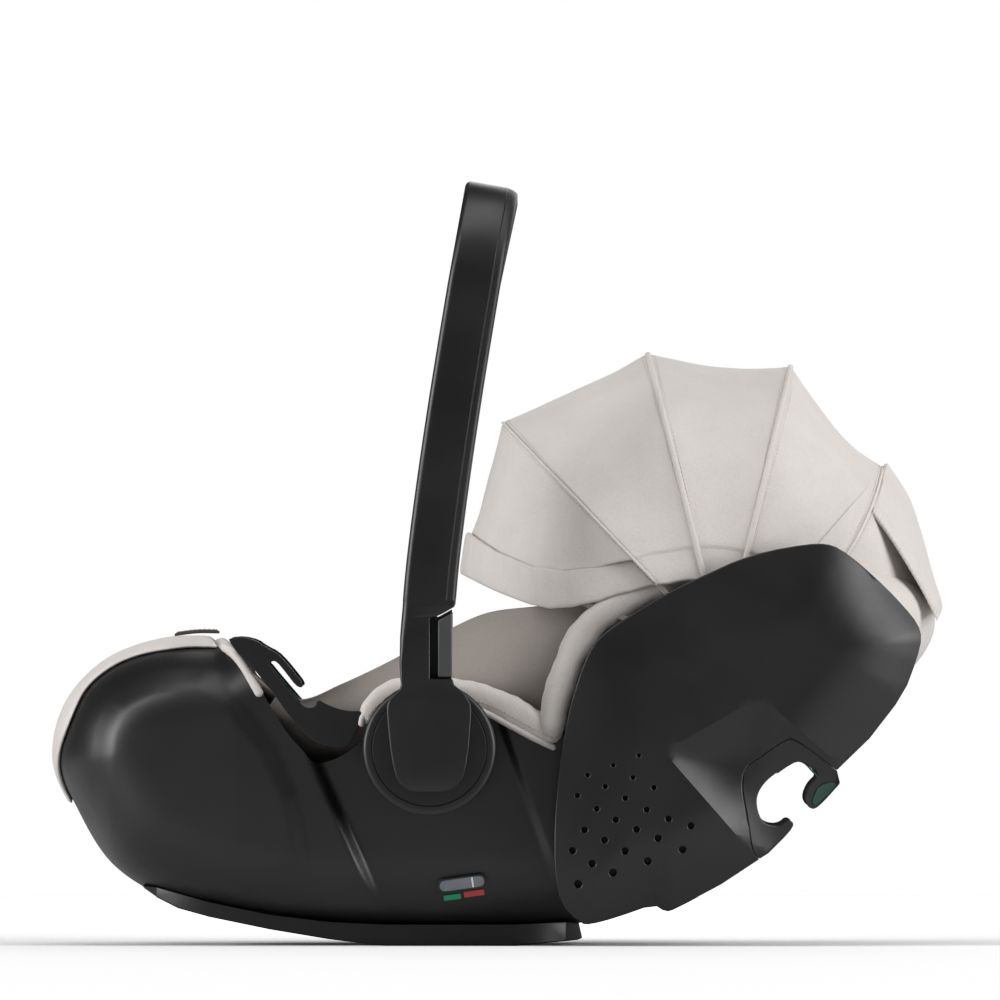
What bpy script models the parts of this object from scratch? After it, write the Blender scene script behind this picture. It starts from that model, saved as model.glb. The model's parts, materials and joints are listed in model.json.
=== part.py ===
"""Infant car seat: bucket shell, padding, harness, sliding headrest, folding canopy and carrying handle.

X runs from the foot end (-) to the head end (+), Y from the child's left (-) to right (+), Z is up.
The origin is under the middle of the seat, on the surface that it stands on. Metres.
"""
import math

import bmesh
import bpy
import numpy as np
from mathutils import Vector
from mathutils.geometry import delaunay_2d_cdt

# ---- driving dimensions ----
HANDLE_HALF_WIDTH = 0.220      # outer face of the handle arms
HANDLE_HEIGHT = 0.581          # top of the upright handle
HUB = (-0.0525, 0.1500)        # x, z of the handle's hinge axis
HUB_RADIUS = 0.0506
CANOPY_PIVOT = (0.1705, 0.2228)
GAP = 0.0004                   # clearance between touching pieces

SHELL_WALL = 0.0035
EDGE_ROUNDING = 0.065          # how far in from its outline the body reaches its full width
EDGE_POWER = 2.8

# ---- colours: name -> (red, green, blue, roughness, metallic) ----
PALETTE = {
    "shell_black": (0.011, 0.011, 0.012, 0.55, 0.0),
    "hub_grey": (0.035, 0.036, 0.038, 0.45, 0.0),
    "button_grey": (0.07, 0.07, 0.075, 0.45, 0.0),
    "beige_fabric": (0.60, 0.54, 0.50, 0.9, 0.0),
    "grey_fabric": (0.20, 0.18, 0.17, 0.9, 0.0),
    "webbing": (0.03, 0.03, 0.03, 0.8, 0.0),
    "foam": (0.25, 0.25, 0.26, 0.8, 0.0),
    "steel": (0.55, 0.55, 0.56, 0.3, 1.0),
    "red": (0.55, 0.05, 0.04, 0.5, 0.0),
    "vial": (0.25, 0.29, 0.34, 0.2, 0.0),
    "leather": (0.08, 0.055, 0.05, 0.6, 0.0),
}


def material(name):
    found = bpy.data.materials.get(name)
    if found:
        return found
    red, green, blue, roughness, metallic = PALETTE[name]
    made = bpy.data.materials.new(name)
    made.use_nodes = True
    shader = made.node_tree.nodes["Principled BSDF"]
    shader.inputs["Base Color"].default_value = (red, green, blue, 1.0)
    shader.inputs["Roughness"].default_value = roughness
    shader.inputs["Metallic"].default_value = metallic
    made.diffuse_color = (red, green, blue, 1.0)
    return made


# ---- curves and meshes ----
def smooth_curve(points, steps=6):
    """A Catmull-Rom curve through the points, with steps points per span."""
    pts = np.array(points, float)
    pts = np.vstack([2 * pts[0] - pts[1], pts, 2 * pts[-1] - pts[-2]])
    out = []
    for a, b, c, d in zip(pts, pts[1:], pts[2:], pts[3:]):
        for t in np.arange(steps) / steps:
            out.append(0.5 * (2 * b + (c - a) * t + (2 * a - 5 * b + 4 * c - d) * t**2
                              + (3 * b - a - 3 * c + d) * t**3))
    out.append(pts[-2])
    return np.array(out)


def curve_at(points, t):
    """Points of the smooth curve at parameters t, from 0 to 1 along its control points."""
    dense = smooth_curve(points, 12)
    at = np.clip(np.asarray(t, float), 0, 1) * (len(dense) - 1)
    low = np.minimum(at.astype(int), len(dense) - 2)
    part = (at - low)[..., None]
    return dense[low] * (1 - part) + dense[low + 1] * part


def add_solid(name, vertices, faces, colour, smooth=40, parent=None):
    """A closed mesh with its faces pointing out."""
    mesh = bpy.data.meshes.new(name)
    mesh.from_pydata([tuple(map(float, v)) for v in vertices], [], faces)
    work = bmesh.new()
    work.from_mesh(mesh)
    bmesh.ops.triangulate(work, faces=work.faces[:])
    bmesh.ops.recalc_face_normals(work, faces=work.faces[:])
    if work.calc_volume(signed=True) < 0:
        bmesh.ops.reverse_faces(work, faces=work.faces[:])
    work.to_mesh(mesh)
    work.free()
    mesh.shade_smooth()
    mesh.set_sharp_from_angle(angle=math.radians(smooth))
    obj = bpy.data.objects.new(name, mesh)
    bpy.context.scene.collection.objects.link(obj)
    mesh.materials.append(material(colour))
    if parent:
        obj.parent = parent
        obj.matrix_parent_inverse = parent.matrix_world.inverted()
    return obj


def axis_empty(name, x, y, z):
    empty = bpy.data.objects.new(name, None)
    empty.location = (x, y, z)
    bpy.context.scene.collection.objects.link(empty)
    bpy.context.view_layer.update()
    return empty


def grid_solid(name, front, back, colour, parent=None):
    """A plate between two grids of points of the same shape."""
    rows, cols = front.shape[:2]
    count = rows * cols
    vertices = np.vstack([front.reshape(-1, 3), back.reshape(-1, 3)])
    faces = []
    for r in range(rows - 1):
        for c in range(cols - 1):
            quad = [r * cols + c, r * cols + c + 1, (r + 1) * cols + c + 1, (r + 1) * cols + c]
            faces.append(quad)
            faces.append([count + i for i in reversed(quad)])
    rim = [c for c in range(cols)]
    rim += [r * cols + cols - 1 for r in range(1, rows)]
    rim += [(rows - 1) * cols + c for c in range(cols - 2, -1, -1)]
    rim += [r * cols for r in range(rows - 2, 0, -1)]
    for a, b in zip(rim, rim[1:] + rim[:1]):
        faces.append([b, a, count + a, count + b])
    return add_solid(name, vertices, faces, colour, parent=parent)


def grid_normals(grid):
    """Unit normals of a grid: along its rows crossed with along its columns."""
    down = np.gradient(grid, axis=0)
    across = np.gradient(grid, axis=1)
    normal = np.cross(down, across)
    return normal / np.maximum(np.linalg.norm(normal, axis=2, keepdims=True), 1e-9)


def loft(name, rings, colour, parent=None):
    """A solid through rings of the same number of points, with flat ends."""
    size = len(rings[0])
    vertices = np.vstack(rings)
    faces = [list(range(size)), [len(vertices) - 1 - i for i in range(size)]]
    for r in range(len(rings) - 1):
        for i in range(size):
            j = (i + 1) % size
            faces.append([r * size + i, (r + 1) * size + i, (r + 1) * size + j, r * size + j])
    return add_solid(name, vertices, faces, colour, parent=parent)


def inside(points, outline):
    """Which 2-D points lie inside a closed outline."""
    x, z = points[:, 0:1], points[:, 1:2]
    ax, az = outline[:, 0], outline[:, 1]
    bx, bz = np.roll(ax, -1), np.roll(az, -1)
    crosses = (az > z) != (bz > z)
    rise = np.where(bz == az, 1.0, bz - az)
    return (crosses & (x < (bx - ax) * (z - az) / rise + ax)).sum(axis=1) % 2 == 1


def distance(x, z, line, closed=False):
    """Distance from each (x, z) to a polyline."""
    shape = np.shape(x)
    p = np.stack([np.ravel(x), np.ravel(z)], 1)[:, None, :]
    a = line if closed else line[:-1]
    b = np.roll(line, -1, axis=0) if closed else line[1:]
    along = b - a
    t = ((p - a) * along).sum(2) / np.maximum((along**2).sum(1), 1e-12)
    nearest = a + np.clip(t, 0, 1)[..., None] * along
    return np.sqrt(((p - nearest) ** 2).sum(2).min(1)).reshape(shape)


def side_plate(name, outline, y_outer, y_inner, side, colour, holes=(), spacing=None, parent=None):
    """A plate seen in its true outline from the side, between two depths given as functions of (x, z).

    Depths are distances from the middle plane; side is -1 for the child's left and +1 for the right.
    """
    outline = np.array(outline, float)
    loops = [outline] + [np.array(h, float) for h in holes]
    points = np.vstack(loops)
    edges, start = [], 0
    for loop in loops:
        edges += [(start + i, start + (i + 1) % len(loop)) for i in range(len(loop))]
        start += len(loop)
    if spacing:
        low, high = outline.min(0), outline.max(0)
        gx, gz = np.meshgrid(np.arange(low[0], high[0], spacing), np.arange(low[1], high[1], spacing))
        grid = np.stack([gx.ravel(), gz.ravel()], 1)
        keep = inside(grid, outline)
        for loop in loops:
            keep &= distance(grid[:, 0], grid[:, 1], loop, True) > 0.45 * spacing
        for loop in loops[1:]:
            keep &= ~inside(grid, loop)
        points = np.vstack([points, grid[keep]])
    found = delaunay_2d_cdt([Vector(p) for p in points], edges, [], 0, 1e-7)
    flat = np.array([tuple(v) for v in found[0]])
    triangles = [list(f) for f in found[2]]
    middle = np.array([flat[t].mean(0) for t in triangles])
    keep = inside(middle, outline)
    for loop in loops[1:]:
        keep &= ~inside(middle, loop)
    triangles = [t for t, k in zip(triangles, keep) if k]
    used = sorted({i for t in triangles for i in t})
    index = {old: new for new, old in enumerate(used)}
    flat = flat[used]
    triangles = [[index[i] for i in t] for t in triangles]
    x, z = flat[:, 0], flat[:, 1]
    outer = y_outer(x, z) if callable(y_outer) else np.full(len(x), y_outer)
    inner = y_inner(x, z) if callable(y_inner) else np.full(len(x), y_inner)
    front = np.stack([x, side * outer, z], 1)
    back = np.stack([x, side * inner, z], 1)
    count = len(flat)
    faces = triangles + [[count + i for i in reversed(t)] for t in triangles]
    seen = {}
    for t in triangles:
        for a, b in zip(t, t[1:] + t[:1]):
            seen[(a, b)] = seen.get((a, b), 0) + 1
    for a, b in seen:
        if (b, a) not in seen:
            faces.append([b, a, count + a, count + b])
    return add_solid(name, np.vstack([front, back]), faces, colour, parent=parent)


def turned(name, profile, x, z, side, colour, segments=32, parent=None):
    """A solid of revolution about a line along Y; profile is a list of (radius, distance from middle)."""
    rings = []
    for k in range(segments):
        turn = 2 * math.pi * k / segments
        rings.append([(x + r * math.cos(turn), side * y, z + r * math.sin(turn)) for r, y in profile])
    size = len(profile)
    vertices = np.array(rings).reshape(-1, 3)
    faces = []
    for k in range(segments):
        after = (k + 1) % segments
        for i in range(size):
            j = (i + 1) % size
            faces.append([k * size + i, after * size + i, after * size + j, k * size + j])
    return add_solid(name, vertices, faces, colour, parent=parent)


def rod(name, start, end, radius, colour, sides=16, parent=None):
    start, end = np.array(start, float), np.array(end, float)
    along = (end - start) / np.linalg.norm(end - start)
    helper = np.array([0, 0, 1.0]) if abs(along[2]) < 0.9 else np.array([1.0, 0, 0])
    u = np.cross(along, helper)
    u /= np.linalg.norm(u)
    v = np.cross(along, u)
    turn = np.arange(sides) * 2 * math.pi / sides
    ring = radius * (np.cos(turn)[:, None] * u + np.sin(turn)[:, None] * v)
    return loft(name, [start + ring, end + ring], colour, parent=parent)


def block(name, centre, size, colour, axes=None, parent=None, bevel=0.0):
    """A box; axes are its own X, Y and Z directions."""
    axes = np.eye(3) if axes is None else np.array(axes)
    corners = [(-1, -1), (1, -1), (1, 1), (-1, 1)]
    inset = 1 - 2 * bevel / min(size[0], size[1]) if bevel else 1
    rings = []
    levels = [(-1, inset), (-1 + 2 * bevel / size[2], 1), (1 - 2 * bevel / size[2], 1), (1, inset)]
    for level, shrink in levels if bevel else [(-1, 1), (1, 1)]:
        ring = [(cx * shrink, cy * shrink, level) for cx, cy in corners]
        rings.append([np.array(centre) + 0.5 * (np.array(r) * size) @ axes for r in ring])
    return loft(name, [np.array(r) for r in rings], colour, parent=parent)


def cut(target, cutter, operation="DIFFERENCE"):
    """Take the cutter out of the target, or join it on with UNION."""
    cutter.hide_render = True
    cutter.display_type = "WIRE"
    boolean = target.modifiers.new(operation.lower(), "BOOLEAN")
    boolean.object = cutter
    boolean.operation = operation
    boolean.solver = "EXACT"


# ---- the body: its middle outline, its half width and its surface ----
# middle-plane outline of the shell, from the foot rim under the seat to the head rim,
# each point paired with the side rim point that its section runs to
SECTIONS = [
    ((-0.217, 0.2315), (-0.209, 0.2225)), ((-0.257, 0.2295), (-0.199, 0.216)),
    ((-0.298, 0.214), (-0.190, 0.207)), ((-0.327, 0.183), (-0.181, 0.194)),
    ((-0.3365, 0.143), (-0.172, 0.180)), ((-0.323, 0.107), (-0.162, 0.164)),
    ((-0.293, 0.060), (-0.150, 0.150)), ((-0.242, 0.031), (-0.137, 0.139)),
    ((-0.170, 0.0145), (-0.112, 0.149)), ((-0.100, 0.009), (-0.080, 0.178)),
    ((-0.030, 0.008), (-0.045, 0.186)), ((0.030, 0.011), (-0.005, 0.174)),
    ((0.085, 0.023), (0.040, 0.156)), ((0.125, 0.044), (0.072, 0.178)),
    ((0.158, 0.076), (0.100, 0.210)), ((0.182, 0.120), (0.130, 0.235)),
    ((0.208, 0.162), (0.160, 0.250)), ((0.252, 0.184), (0.190, 0.260)),
    ((0.300, 0.203), (0.215, 0.268)), ((0.3270, 0.238), (0.235, 0.276)),
    ((0.319, 0.272), (0.250, 0.283)), ((0.274, 0.302), (0.257, 0.291)),
]
KEEL = smooth_curve([k for k, _ in SECTIONS], 6)
OVER_THE_TOP = [(0.245, 0.345), (0.100, 0.360), (-0.050, 0.340), (-0.150, 0.280)]
OUTLINE = np.vstack([KEEL, OVER_THE_TOP])
HALF_WIDTHS = [(-0.34, 0.148), (-0.28, 0.155), (-0.20, 0.163), (-0.10, 0.168), (0.05, 0.172), (0.10, 0.177),
               (0.20, 0.178), (0.34, 0.168)]
WAIST_DEPTH = 0.009            # how far the middle of each side is recessed


def smooth_step(t):
    t = np.clip(t, 0, 1)
    return t * t * (3 - 2 * t)


def half_width(x, z):
    """Half width of the flat part of the sides, narrower towards the base."""
    flare = 1 - 0.07 * np.clip((0.2 - z) / 0.2, 0, 1) ** 1.5
    return np.interp(x, *zip(*HALF_WIDTHS)) * flare


def waist(x, z):
    """Depth of the recess between the foot bulge and the rear panel."""
    front = smooth_step((x - (-0.0935 - 0.444 * (z - 0.030)) + 0.008) / 0.020)
    back = smooth_step((x - (0.001 + 0.35 * (0.163 - z))) / 0.020)
    behind = smooth_step((x - 0.050) / 0.040)
    return WAIST_DEPTH * front * (1 - 0.4 * back) * (1 - behind)


def shell_side(x, z):
    """Distance of the shell's outer surface from the middle plane."""
    inward = np.clip(distance(x, z, OUTLINE, True) / EDGE_ROUNDING, 0, 1)
    full = half_width(x, z)
    round_edge = (1 - (1 - inward) ** EDGE_POWER) ** (1 / EDGE_POWER)
    return full * round_edge - waist(x, z) * smooth_step(inward * 1.4)


def shell_grid(s_values, v_values):
    """Grid over the shell's outer surface; s from foot to head, v from -1 (left rim) to 1."""
    s, v = np.meshgrid(s_values, v_values, indexing="ij")
    keel = curve_at([k for k, _ in SECTIONS], s)
    rim = curve_at([r for _, r in SECTIONS], s)
    to_rim = (np.abs(v) ** 2.0)[..., None]
    flat = keel * (1 - to_rim) + rim * to_rim
    y = np.sign(v) * shell_side(flat[..., 0], flat[..., 1])
    y = np.where(v == 0, 0.0, y)
    return np.stack([flat[..., 0], y, flat[..., 1]], -1)


def even(count, low=-1.0, high=1.0):
    return np.linspace(low, high, count)


def make_shell(grid, inward):
    shell = grid_solid("outer_shell", grid, grid + SHELL_WALL * inward, "shell_black")
    for side in (-1, 1):
        bore = rod("hub_cutter", (HUB[0], side * 0.12, HUB[1]), (HUB[0], side * 0.20, HUB[1]), 0.0312, "steel", 20)
        cut(shell, bore)
    for x, z in LATCH_BARS:
        slot = block("latch_cutter", (x, 0, z - 0.016), (0.030, 0.130, 0.036), "steel")
        cut(shell, slot)


# ---- base ----
LATCH_BARS = [(-0.200, 0.0350), (0.030, 0.0260)]     # x and z of the steel bars
BASE_UNDERSIDE = [(-0.280, 0.0500), (-0.251, 0.0305), (-0.220, 0.0220), (-0.174, 0.0125), (-0.129, 0.0050),
                  (-0.098, 0.0010), (-0.085, 0.0), (0.012, 0.0), (0.039, 0.0022), (0.064, 0.0045)]
BASE_HALF_WIDTH = 0.112
BASE_INNER = 0.086


def base_ring(length_in, width):
    """Plan outline of the base, a long rounded rectangle with points where its underside bends."""
    middle, half = -0.1045, 0.1680 - length_in
    ends = middle + half * np.sin(np.radians([-90, -80, -68, -56, 56, 68, 80, 90]))
    bends = [x for x, _ in BASE_UNDERSIDE if abs(x - middle) < 0.1195]
    x = np.sort(np.concatenate([ends, bends]))
    y = width * (1 - np.clip(np.abs((x - middle) / half), 0, 1) ** 6) ** (1 / 6)
    return np.concatenate([x, x[-2:0:-1]]), np.concatenate([y, -y[-2:0:-1]])


def under_shell(x, y):
    """Height of the shell's underside at (x, y)."""
    heights = np.arange(0.004, 0.12, 0.0005)
    high_x = np.repeat(x[:, None], len(heights), axis=1)
    high_z = np.repeat(heights[None, :], len(x), axis=0)
    outside = ~inside(np.stack([high_x.ravel(), high_z.ravel()], 1), OUTLINE).reshape(high_x.shape)
    reach = np.where(outside, 0.0, shell_side(high_x, high_z))
    return heights[np.argmax(reach >= np.abs(y)[:, None], axis=1)]


def make_base():
    rings = []
    for length_in, width, top in [(0, BASE_HALF_WIDTH, True), (0.024, BASE_INNER, True),
                                  (0.024, BASE_INNER, False), (0, BASE_HALF_WIDTH, False)]:
        x, y = base_ring(length_in, width)
        floor = np.interp(x, *zip(*BASE_UNDERSIDE))
        z = np.maximum(under_shell(x, y) - 0.0026, floor + 0.0015) if top else floor
        rings.append(np.stack([x, y, z], 1))
    count = len(rings[0])
    vertices = np.vstack(rings)
    faces = []
    for k in range(4):
        for i in range(count):
            j = (i + 1) % count
            n = (k + 1) % 4
            faces.append([k * count + i, k * count + j, n * count + j, n * count + i])
    add_solid("base_runner", vertices, faces, "shell_black")
    for name, (x, z) in zip(("latch_bar_front", "latch_bar_rear"), LATCH_BARS):
        rod(name, (x, -0.078, z), (x, 0.078, z), 0.005, "steel")


# ---- rear side panels with their belt hooks ----
HOOK_SEAM = [(0.2568, 0.1335), (0.2255, 0.1562), (0.2182, 0.1565), (0.2003, 0.1450), (0.1877, 0.1350),
             (0.1850, 0.1206), (0.1881, 0.1015), (0.1927, 0.0740), (0.1980, 0.0660)]
HOOK_OPENING = [(0.2594, 0.1236), (0.2418, 0.1038), (0.2354, 0.1048), (0.2318, 0.1118), (0.2361, 0.1225),
                (0.2438, 0.1294), (0.2343, 0.1381), (0.2270, 0.1412), (0.2110, 0.1320), (0.2011, 0.1236),
                (0.1957, 0.1137), (0.1965, 0.1030), (0.2003, 0.0946), (0.2075, 0.0913), (0.2148, 0.0919),
                (0.2201, 0.0969), (0.2262, 0.0916), (0.2041, 0.0702)]
HOOK_CORNER = [(0.1988, 0.0668)]
HOOK_TIP = [(0.2572, 0.1325)]
SEAM_GAP = np.array([0.0006, -0.0006])
PANEL_REAR_BOTTOM = [(0.1980, 0.0660), (0.1690, 0.0469), (0.1339, 0.0282), (0.1270, 0.0262), (0.1179, 0.0320),
                     (0.0877, 0.0214), (0.0698, 0.0168), (0.0629, 0.0172), (0.0469, 0.0320)]
PANEL_FRONT_TOP = [(0.0423, 0.0580), (0.0423, 0.0938), (0.0454, 0.1320), (0.0500, 0.1618), (0.0550, 0.1854),
                   (0.0637, 0.2129), (0.0721, 0.2297), (0.0828, 0.2403), (0.1061, 0.2556), (0.1339, 0.2716),
                   (0.1591, 0.2831), (0.1804, 0.2930), (0.2056, 0.3006), (0.2330, 0.3052), (0.2480, 0.3059),
                   (0.2590, 0.3022), (0.2758, 0.2892), (0.2949, 0.2716), (0.3079, 0.2579), (0.3185, 0.2449),
                   (0.3216, 0.2342), (0.3178, 0.2182), (0.3079, 0.1915), (0.2819, 0.1579), (0.2590, 0.1360)]
PANEL_OUTLINE = np.array(HOOK_SEAM + PANEL_REAR_BOTTOM[1:] + PANEL_FRONT_TOP[:-1])
PANEL_SOLID = np.array(PANEL_REAR_BOTTOM + PANEL_FRONT_TOP[:-1] + [(0.262, 0.130), (0.232, 0.092)])
PANEL_HALF_WIDTH = 0.1875
PANEL_WALL = 0.004
DIAMOND = [(0.1251, 0.1480), (0.1960, 0.1880), (0.2010, 0.1880), (0.2700, 0.1280), (0.2200, 0.0700),
           (0.1911, 0.0725)]
VENT_ROWS = [   # first hole, last hole, number of holes, first and last radius
    ((0.0604, 0.0473), (0.1396, 0.0735), 4, 0.0030, 0.0027), ((0.0710, 0.0629), (0.1461, 0.0916), 4, 0.0028, 0.0026),
    ((0.0561, 0.0727), (0.1290, 0.0969), 4, 0.0026, 0.0024), ((0.0652, 0.0885), (0.1125, 0.1038), 3, 0.0024, 0.0022),
    ((0.0744, 0.1045), (0.1179, 0.1206), 3, 0.0021, 0.0019), ((0.0599, 0.1145), (0.1019, 0.1282), 3, 0.0019, 0.0017),
    ((0.0675, 0.1301), (0.1064, 0.1450), 3, 0.0016, 0.0015),
]


def recess_share(x, z, corners, blend):
    """0 outside a convex polygon, rising to 1 at a distance blend inside its nearest edge."""
    share = np.full(np.shape(x), 1.0)
    middle = np.mean(corners, axis=0)
    for (ax, az), (bx, bz) in zip(corners, corners[1:] + corners[:1]):
        size = math.hypot(bx - ax, bz - az)
        side = ((bx - ax) * (z - az) - (bz - az) * (x - ax)) / size
        towards = (bx - ax) * (middle[1] - az) - (bz - az) * (middle[0] - ax)
        share = np.minimum(share, side * np.sign(towards) / blend)
    return smooth_step(share)


def panel_side(x, z):
    """Distance of the rear panel's outer face from the middle plane."""
    inward = np.clip(distance(x, z, PANEL_SOLID, True) / 0.060, 0, 1)
    to_rear = smooth_step((0.77 * x - 0.64 * z + 0.01) / 0.08)
    fall = 0.007 + 0.019 * to_rear
    return PANEL_HALF_WIDTH - fall * (1 - inward) ** 2 - 0.013 * recess_share(x, z, DIAMOND, 0.040)


def vent_holes():
    holes = []
    for first, last, count, big, small in VENT_ROWS:
        for k in range(count):
            t = k / (count - 1)
            x = first[0] + t * (last[0] - first[0])
            z = first[1] + t * (last[1] - first[1])
            turn = np.arange(5) * 2 * math.pi / 5
            radius = big + t * (small - big)
            holes.append(np.stack([x + radius * np.cos(turn), z + radius * np.sin(turn)], 1))
    return holes


def make_rear_panels():
    seam = np.array(HOOK_SEAM[1:-1]) + SEAM_GAP
    trim_outline = np.vstack([HOOK_OPENING, HOOK_CORNER, seam[::-1], HOOK_TIP])
    for side, tag in ((-1, "L"), (1, "R")):
        side_plate(f"rear_side_panel_{tag}", PANEL_OUTLINE, panel_side,
                   lambda x, z: panel_side(x, z) - PANEL_WALL, side, "shell_black", vent_holes(), 0.022)
        side_plate(f"belt_hook_{tag}", trim_outline, lambda x, z: panel_side(x, z) - 0.001, 0.140, side,
                   "shell_black")


# ---- lap belt guides and hubs ----
GUIDE_OUTLINE = [(-0.2045, 0.2338), (-0.1942, 0.2346), (-0.1835, 0.2320), (-0.1774, 0.2274), (-0.1682, 0.2228),
                 (-0.1614, 0.2159), (-0.1545, 0.2075), (-0.1479, 0.1988), (-0.1496, 0.1961), (-0.1538, 0.1976),
                 (-0.1614, 0.2075), (-0.1682, 0.2159), (-0.1717, 0.2167), (-0.1753, 0.2136), (-0.1496, 0.1831),
                 (-0.1438, 0.1808), (-0.1393, 0.1818), (-0.1373, 0.1877), (-0.1309, 0.1839), (-0.1217, 0.1801),
                 (-0.1125, 0.1785), (-0.1029, 0.1785), (-0.1042, 0.1713), (-0.1087, 0.1610), (-0.1125, 0.1541),
                 (-0.1171, 0.1514), (-0.1263, 0.1511), (-0.1377, 0.1541), (-0.1473, 0.1602), (-0.1606, 0.1770),
                 (-0.1728, 0.1946), (-0.1774, 0.1991), (-0.1820, 0.2060), (-0.1919, 0.2167), (-0.1988, 0.2230),
                 (-0.2048, 0.2320)]


def make_belt_guides():
    for side, tag in ((-1, "L"), (1, "R")):
        side_plate(f"lap_belt_guide_{tag}", GUIDE_OUTLINE, 0.1665, 0.1480, side, "shell_black")


def detent_outline():
    """Twelve teeth round the hub, which the lock pin drops between."""
    points = []
    for k in range(36):
        radius = 0.0240 if k % 3 < 2 else 0.0215
        turn = 2 * math.pi * k / 36
        points.append((HUB[0] + radius * math.cos(turn), HUB[1] + radius * math.sin(turn)))
    return points


def make_hubs():
    x, z = HUB
    bore = [(x + 0.0066 * math.cos(a), z + 0.0066 * math.sin(a)) for a in np.arange(12) * math.pi / 6]
    bolt = [(0.0015, 0.1495), (0.0110, 0.1495), (0.0110, 0.1545), (0.0060, 0.1545), (0.0060, 0.2090),
            (0.0015, 0.2090)]
    for side, tag in ((-1, "L"), (1, "R")):
        housing = turned(f"hub_disc_{tag}", [(0.0066, 0.1550), (0.0300, 0.1550), (0.0300, 0.1700),
                                             (HUB_RADIUS, 0.1700), (HUB_RADIUS, 0.1925), (0.0480, 0.1965),
                                             (0.0066, 0.1965)],
                         x, z, side, "hub_grey", 28)
        socket = block("socket_cutter", (x, side * 0.1830, z - 0.0420), (0.026, 0.010, 0.030), "steel")
        cut(housing, socket)
        ring = side_plate("detent_ring", detent_outline(), 0.2080, 0.1965, side, "hub_grey", [bore])
        cut(housing, ring, "UNION")
        turned(f"pivot_bolt_{tag}", bolt, x, z, side, "steel", 14)


# ---- carrying handle ----
ARM_EDGE = [(0.2240, -0.0755), (0.3000, -0.0690), (0.4150, -0.0530), (0.5810, -0.0255)]  # z, x of the foot-side edge
ARM_WIDTH = 0.0400
ARM_DEPTH = 0.0180
ARM_FOOT_TOP = 0.2620
HANDLE_CORNER = 0.078
TRIM_WIDTH = 0.0070


def arm_edge(z):
    dense = smooth_curve(ARM_EDGE, 12)
    return np.interp(z, dense[:, 0], dense[:, 1])


def handle_path():
    """(y, z, inward y, inward z) along the outside of the handle, from the left arm to the right."""
    half, top, corner = HANDLE_HALF_WIDTH, HANDLE_HEIGHT, HANDLE_CORNER
    left = [(-half, z, 1.0, 0.0) for z in np.linspace(ARM_FOOT_TOP + GAP, top - corner, 9)]
    for turn in np.linspace(0, math.pi / 2, 9)[1:]:
        cy, cz = -half + corner, top - corner
        left.append((cy - corner * math.cos(turn), cz + corner * math.sin(turn), math.cos(turn), -math.sin(turn)))
    left += [(y, top, 0.0, -1.0) for y in (-0.07,)]
    return left + [(-y, z, -ny, nz) for y, z, ny, nz in reversed(left)]


def handle_section(from_x, to_x, round_left, round_right):
    """Ring points (across, in) of the handle's section, rounded where the hand meets it."""
    ring = [(from_x, ARM_DEPTH), (from_x, round_left), (from_x + 0.3 * round_left, 0.3 * round_left),
            (from_x + round_left, 0.0), (to_x - round_right, 0.0),
            (to_x - 0.3 * round_right, 0.3 * round_right), (to_x, round_right), (to_x, ARM_DEPTH)]
    return np.array(ring)


def handle_rings(section):
    rings = []
    for y, z, ny, nz in handle_path():
        across, depth = section[:, 0], section[:, 1]
        rings.append(np.stack([arm_edge(z) + across, y + depth * ny, z + depth * nz], 1))
    return rings


ARM_FOOT = [(-0.0738, 0.2620), (-0.0752, 0.2430), (-0.0752, 0.2200), (-0.0730, 0.1950), (-0.0810, 0.1890),
            (-0.0850, 0.1800), (-0.0825, 0.1503), (-0.0782, 0.1290), (-0.0700, 0.1195), (-0.0523, 0.1175),
            (-0.0355, 0.1195), (-0.0263, 0.1290), (-0.0225, 0.1490), (-0.0205, 0.1800), (-0.0260, 0.1920),
            (-0.0340, 0.1990), (-0.0345, 0.2030), (-0.0520, 0.2030), (-0.0520, 0.2508), (-0.0470, 0.2512),
            (-0.0432, 0.2525), (-0.0330, 0.2580), (-0.0338, 0.2620)]


def make_handle(handle):
    split = ARM_WIDTH - TRIM_WIDTH
    loft("handle_shell", handle_rings(handle_section(0.0, split, 0.004, 0.0005)), "shell_black", handle)
    trim = handle_section(split + GAP, ARM_WIDTH, 0.0005, 0.005)
    loft("handle_trim", handle_rings(trim), "hub_grey", handle)
    x, z = HUB
    for side, tag in ((-1, "L"), (1, "R")):
        foot = side_plate(f"handle_arm_end_{tag}", ARM_FOOT, HANDLE_HALF_WIDTH, HANDLE_HALF_WIDTH - 0.0215, side,
                          "shell_black", parent=handle)
        well = rod("well_cutter", (x, side * 0.190, z), (x, side * 0.2105, z), 0.0270, "steel", 24, handle)
        cut(foot, well)
        channel = block("channel_cutter", (x - 0.0100, side * 0.2015, 0.2130), (0.0120, 0.0180, 0.0860), "steel",
                        parent=handle)
        cut(foot, channel)


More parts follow.
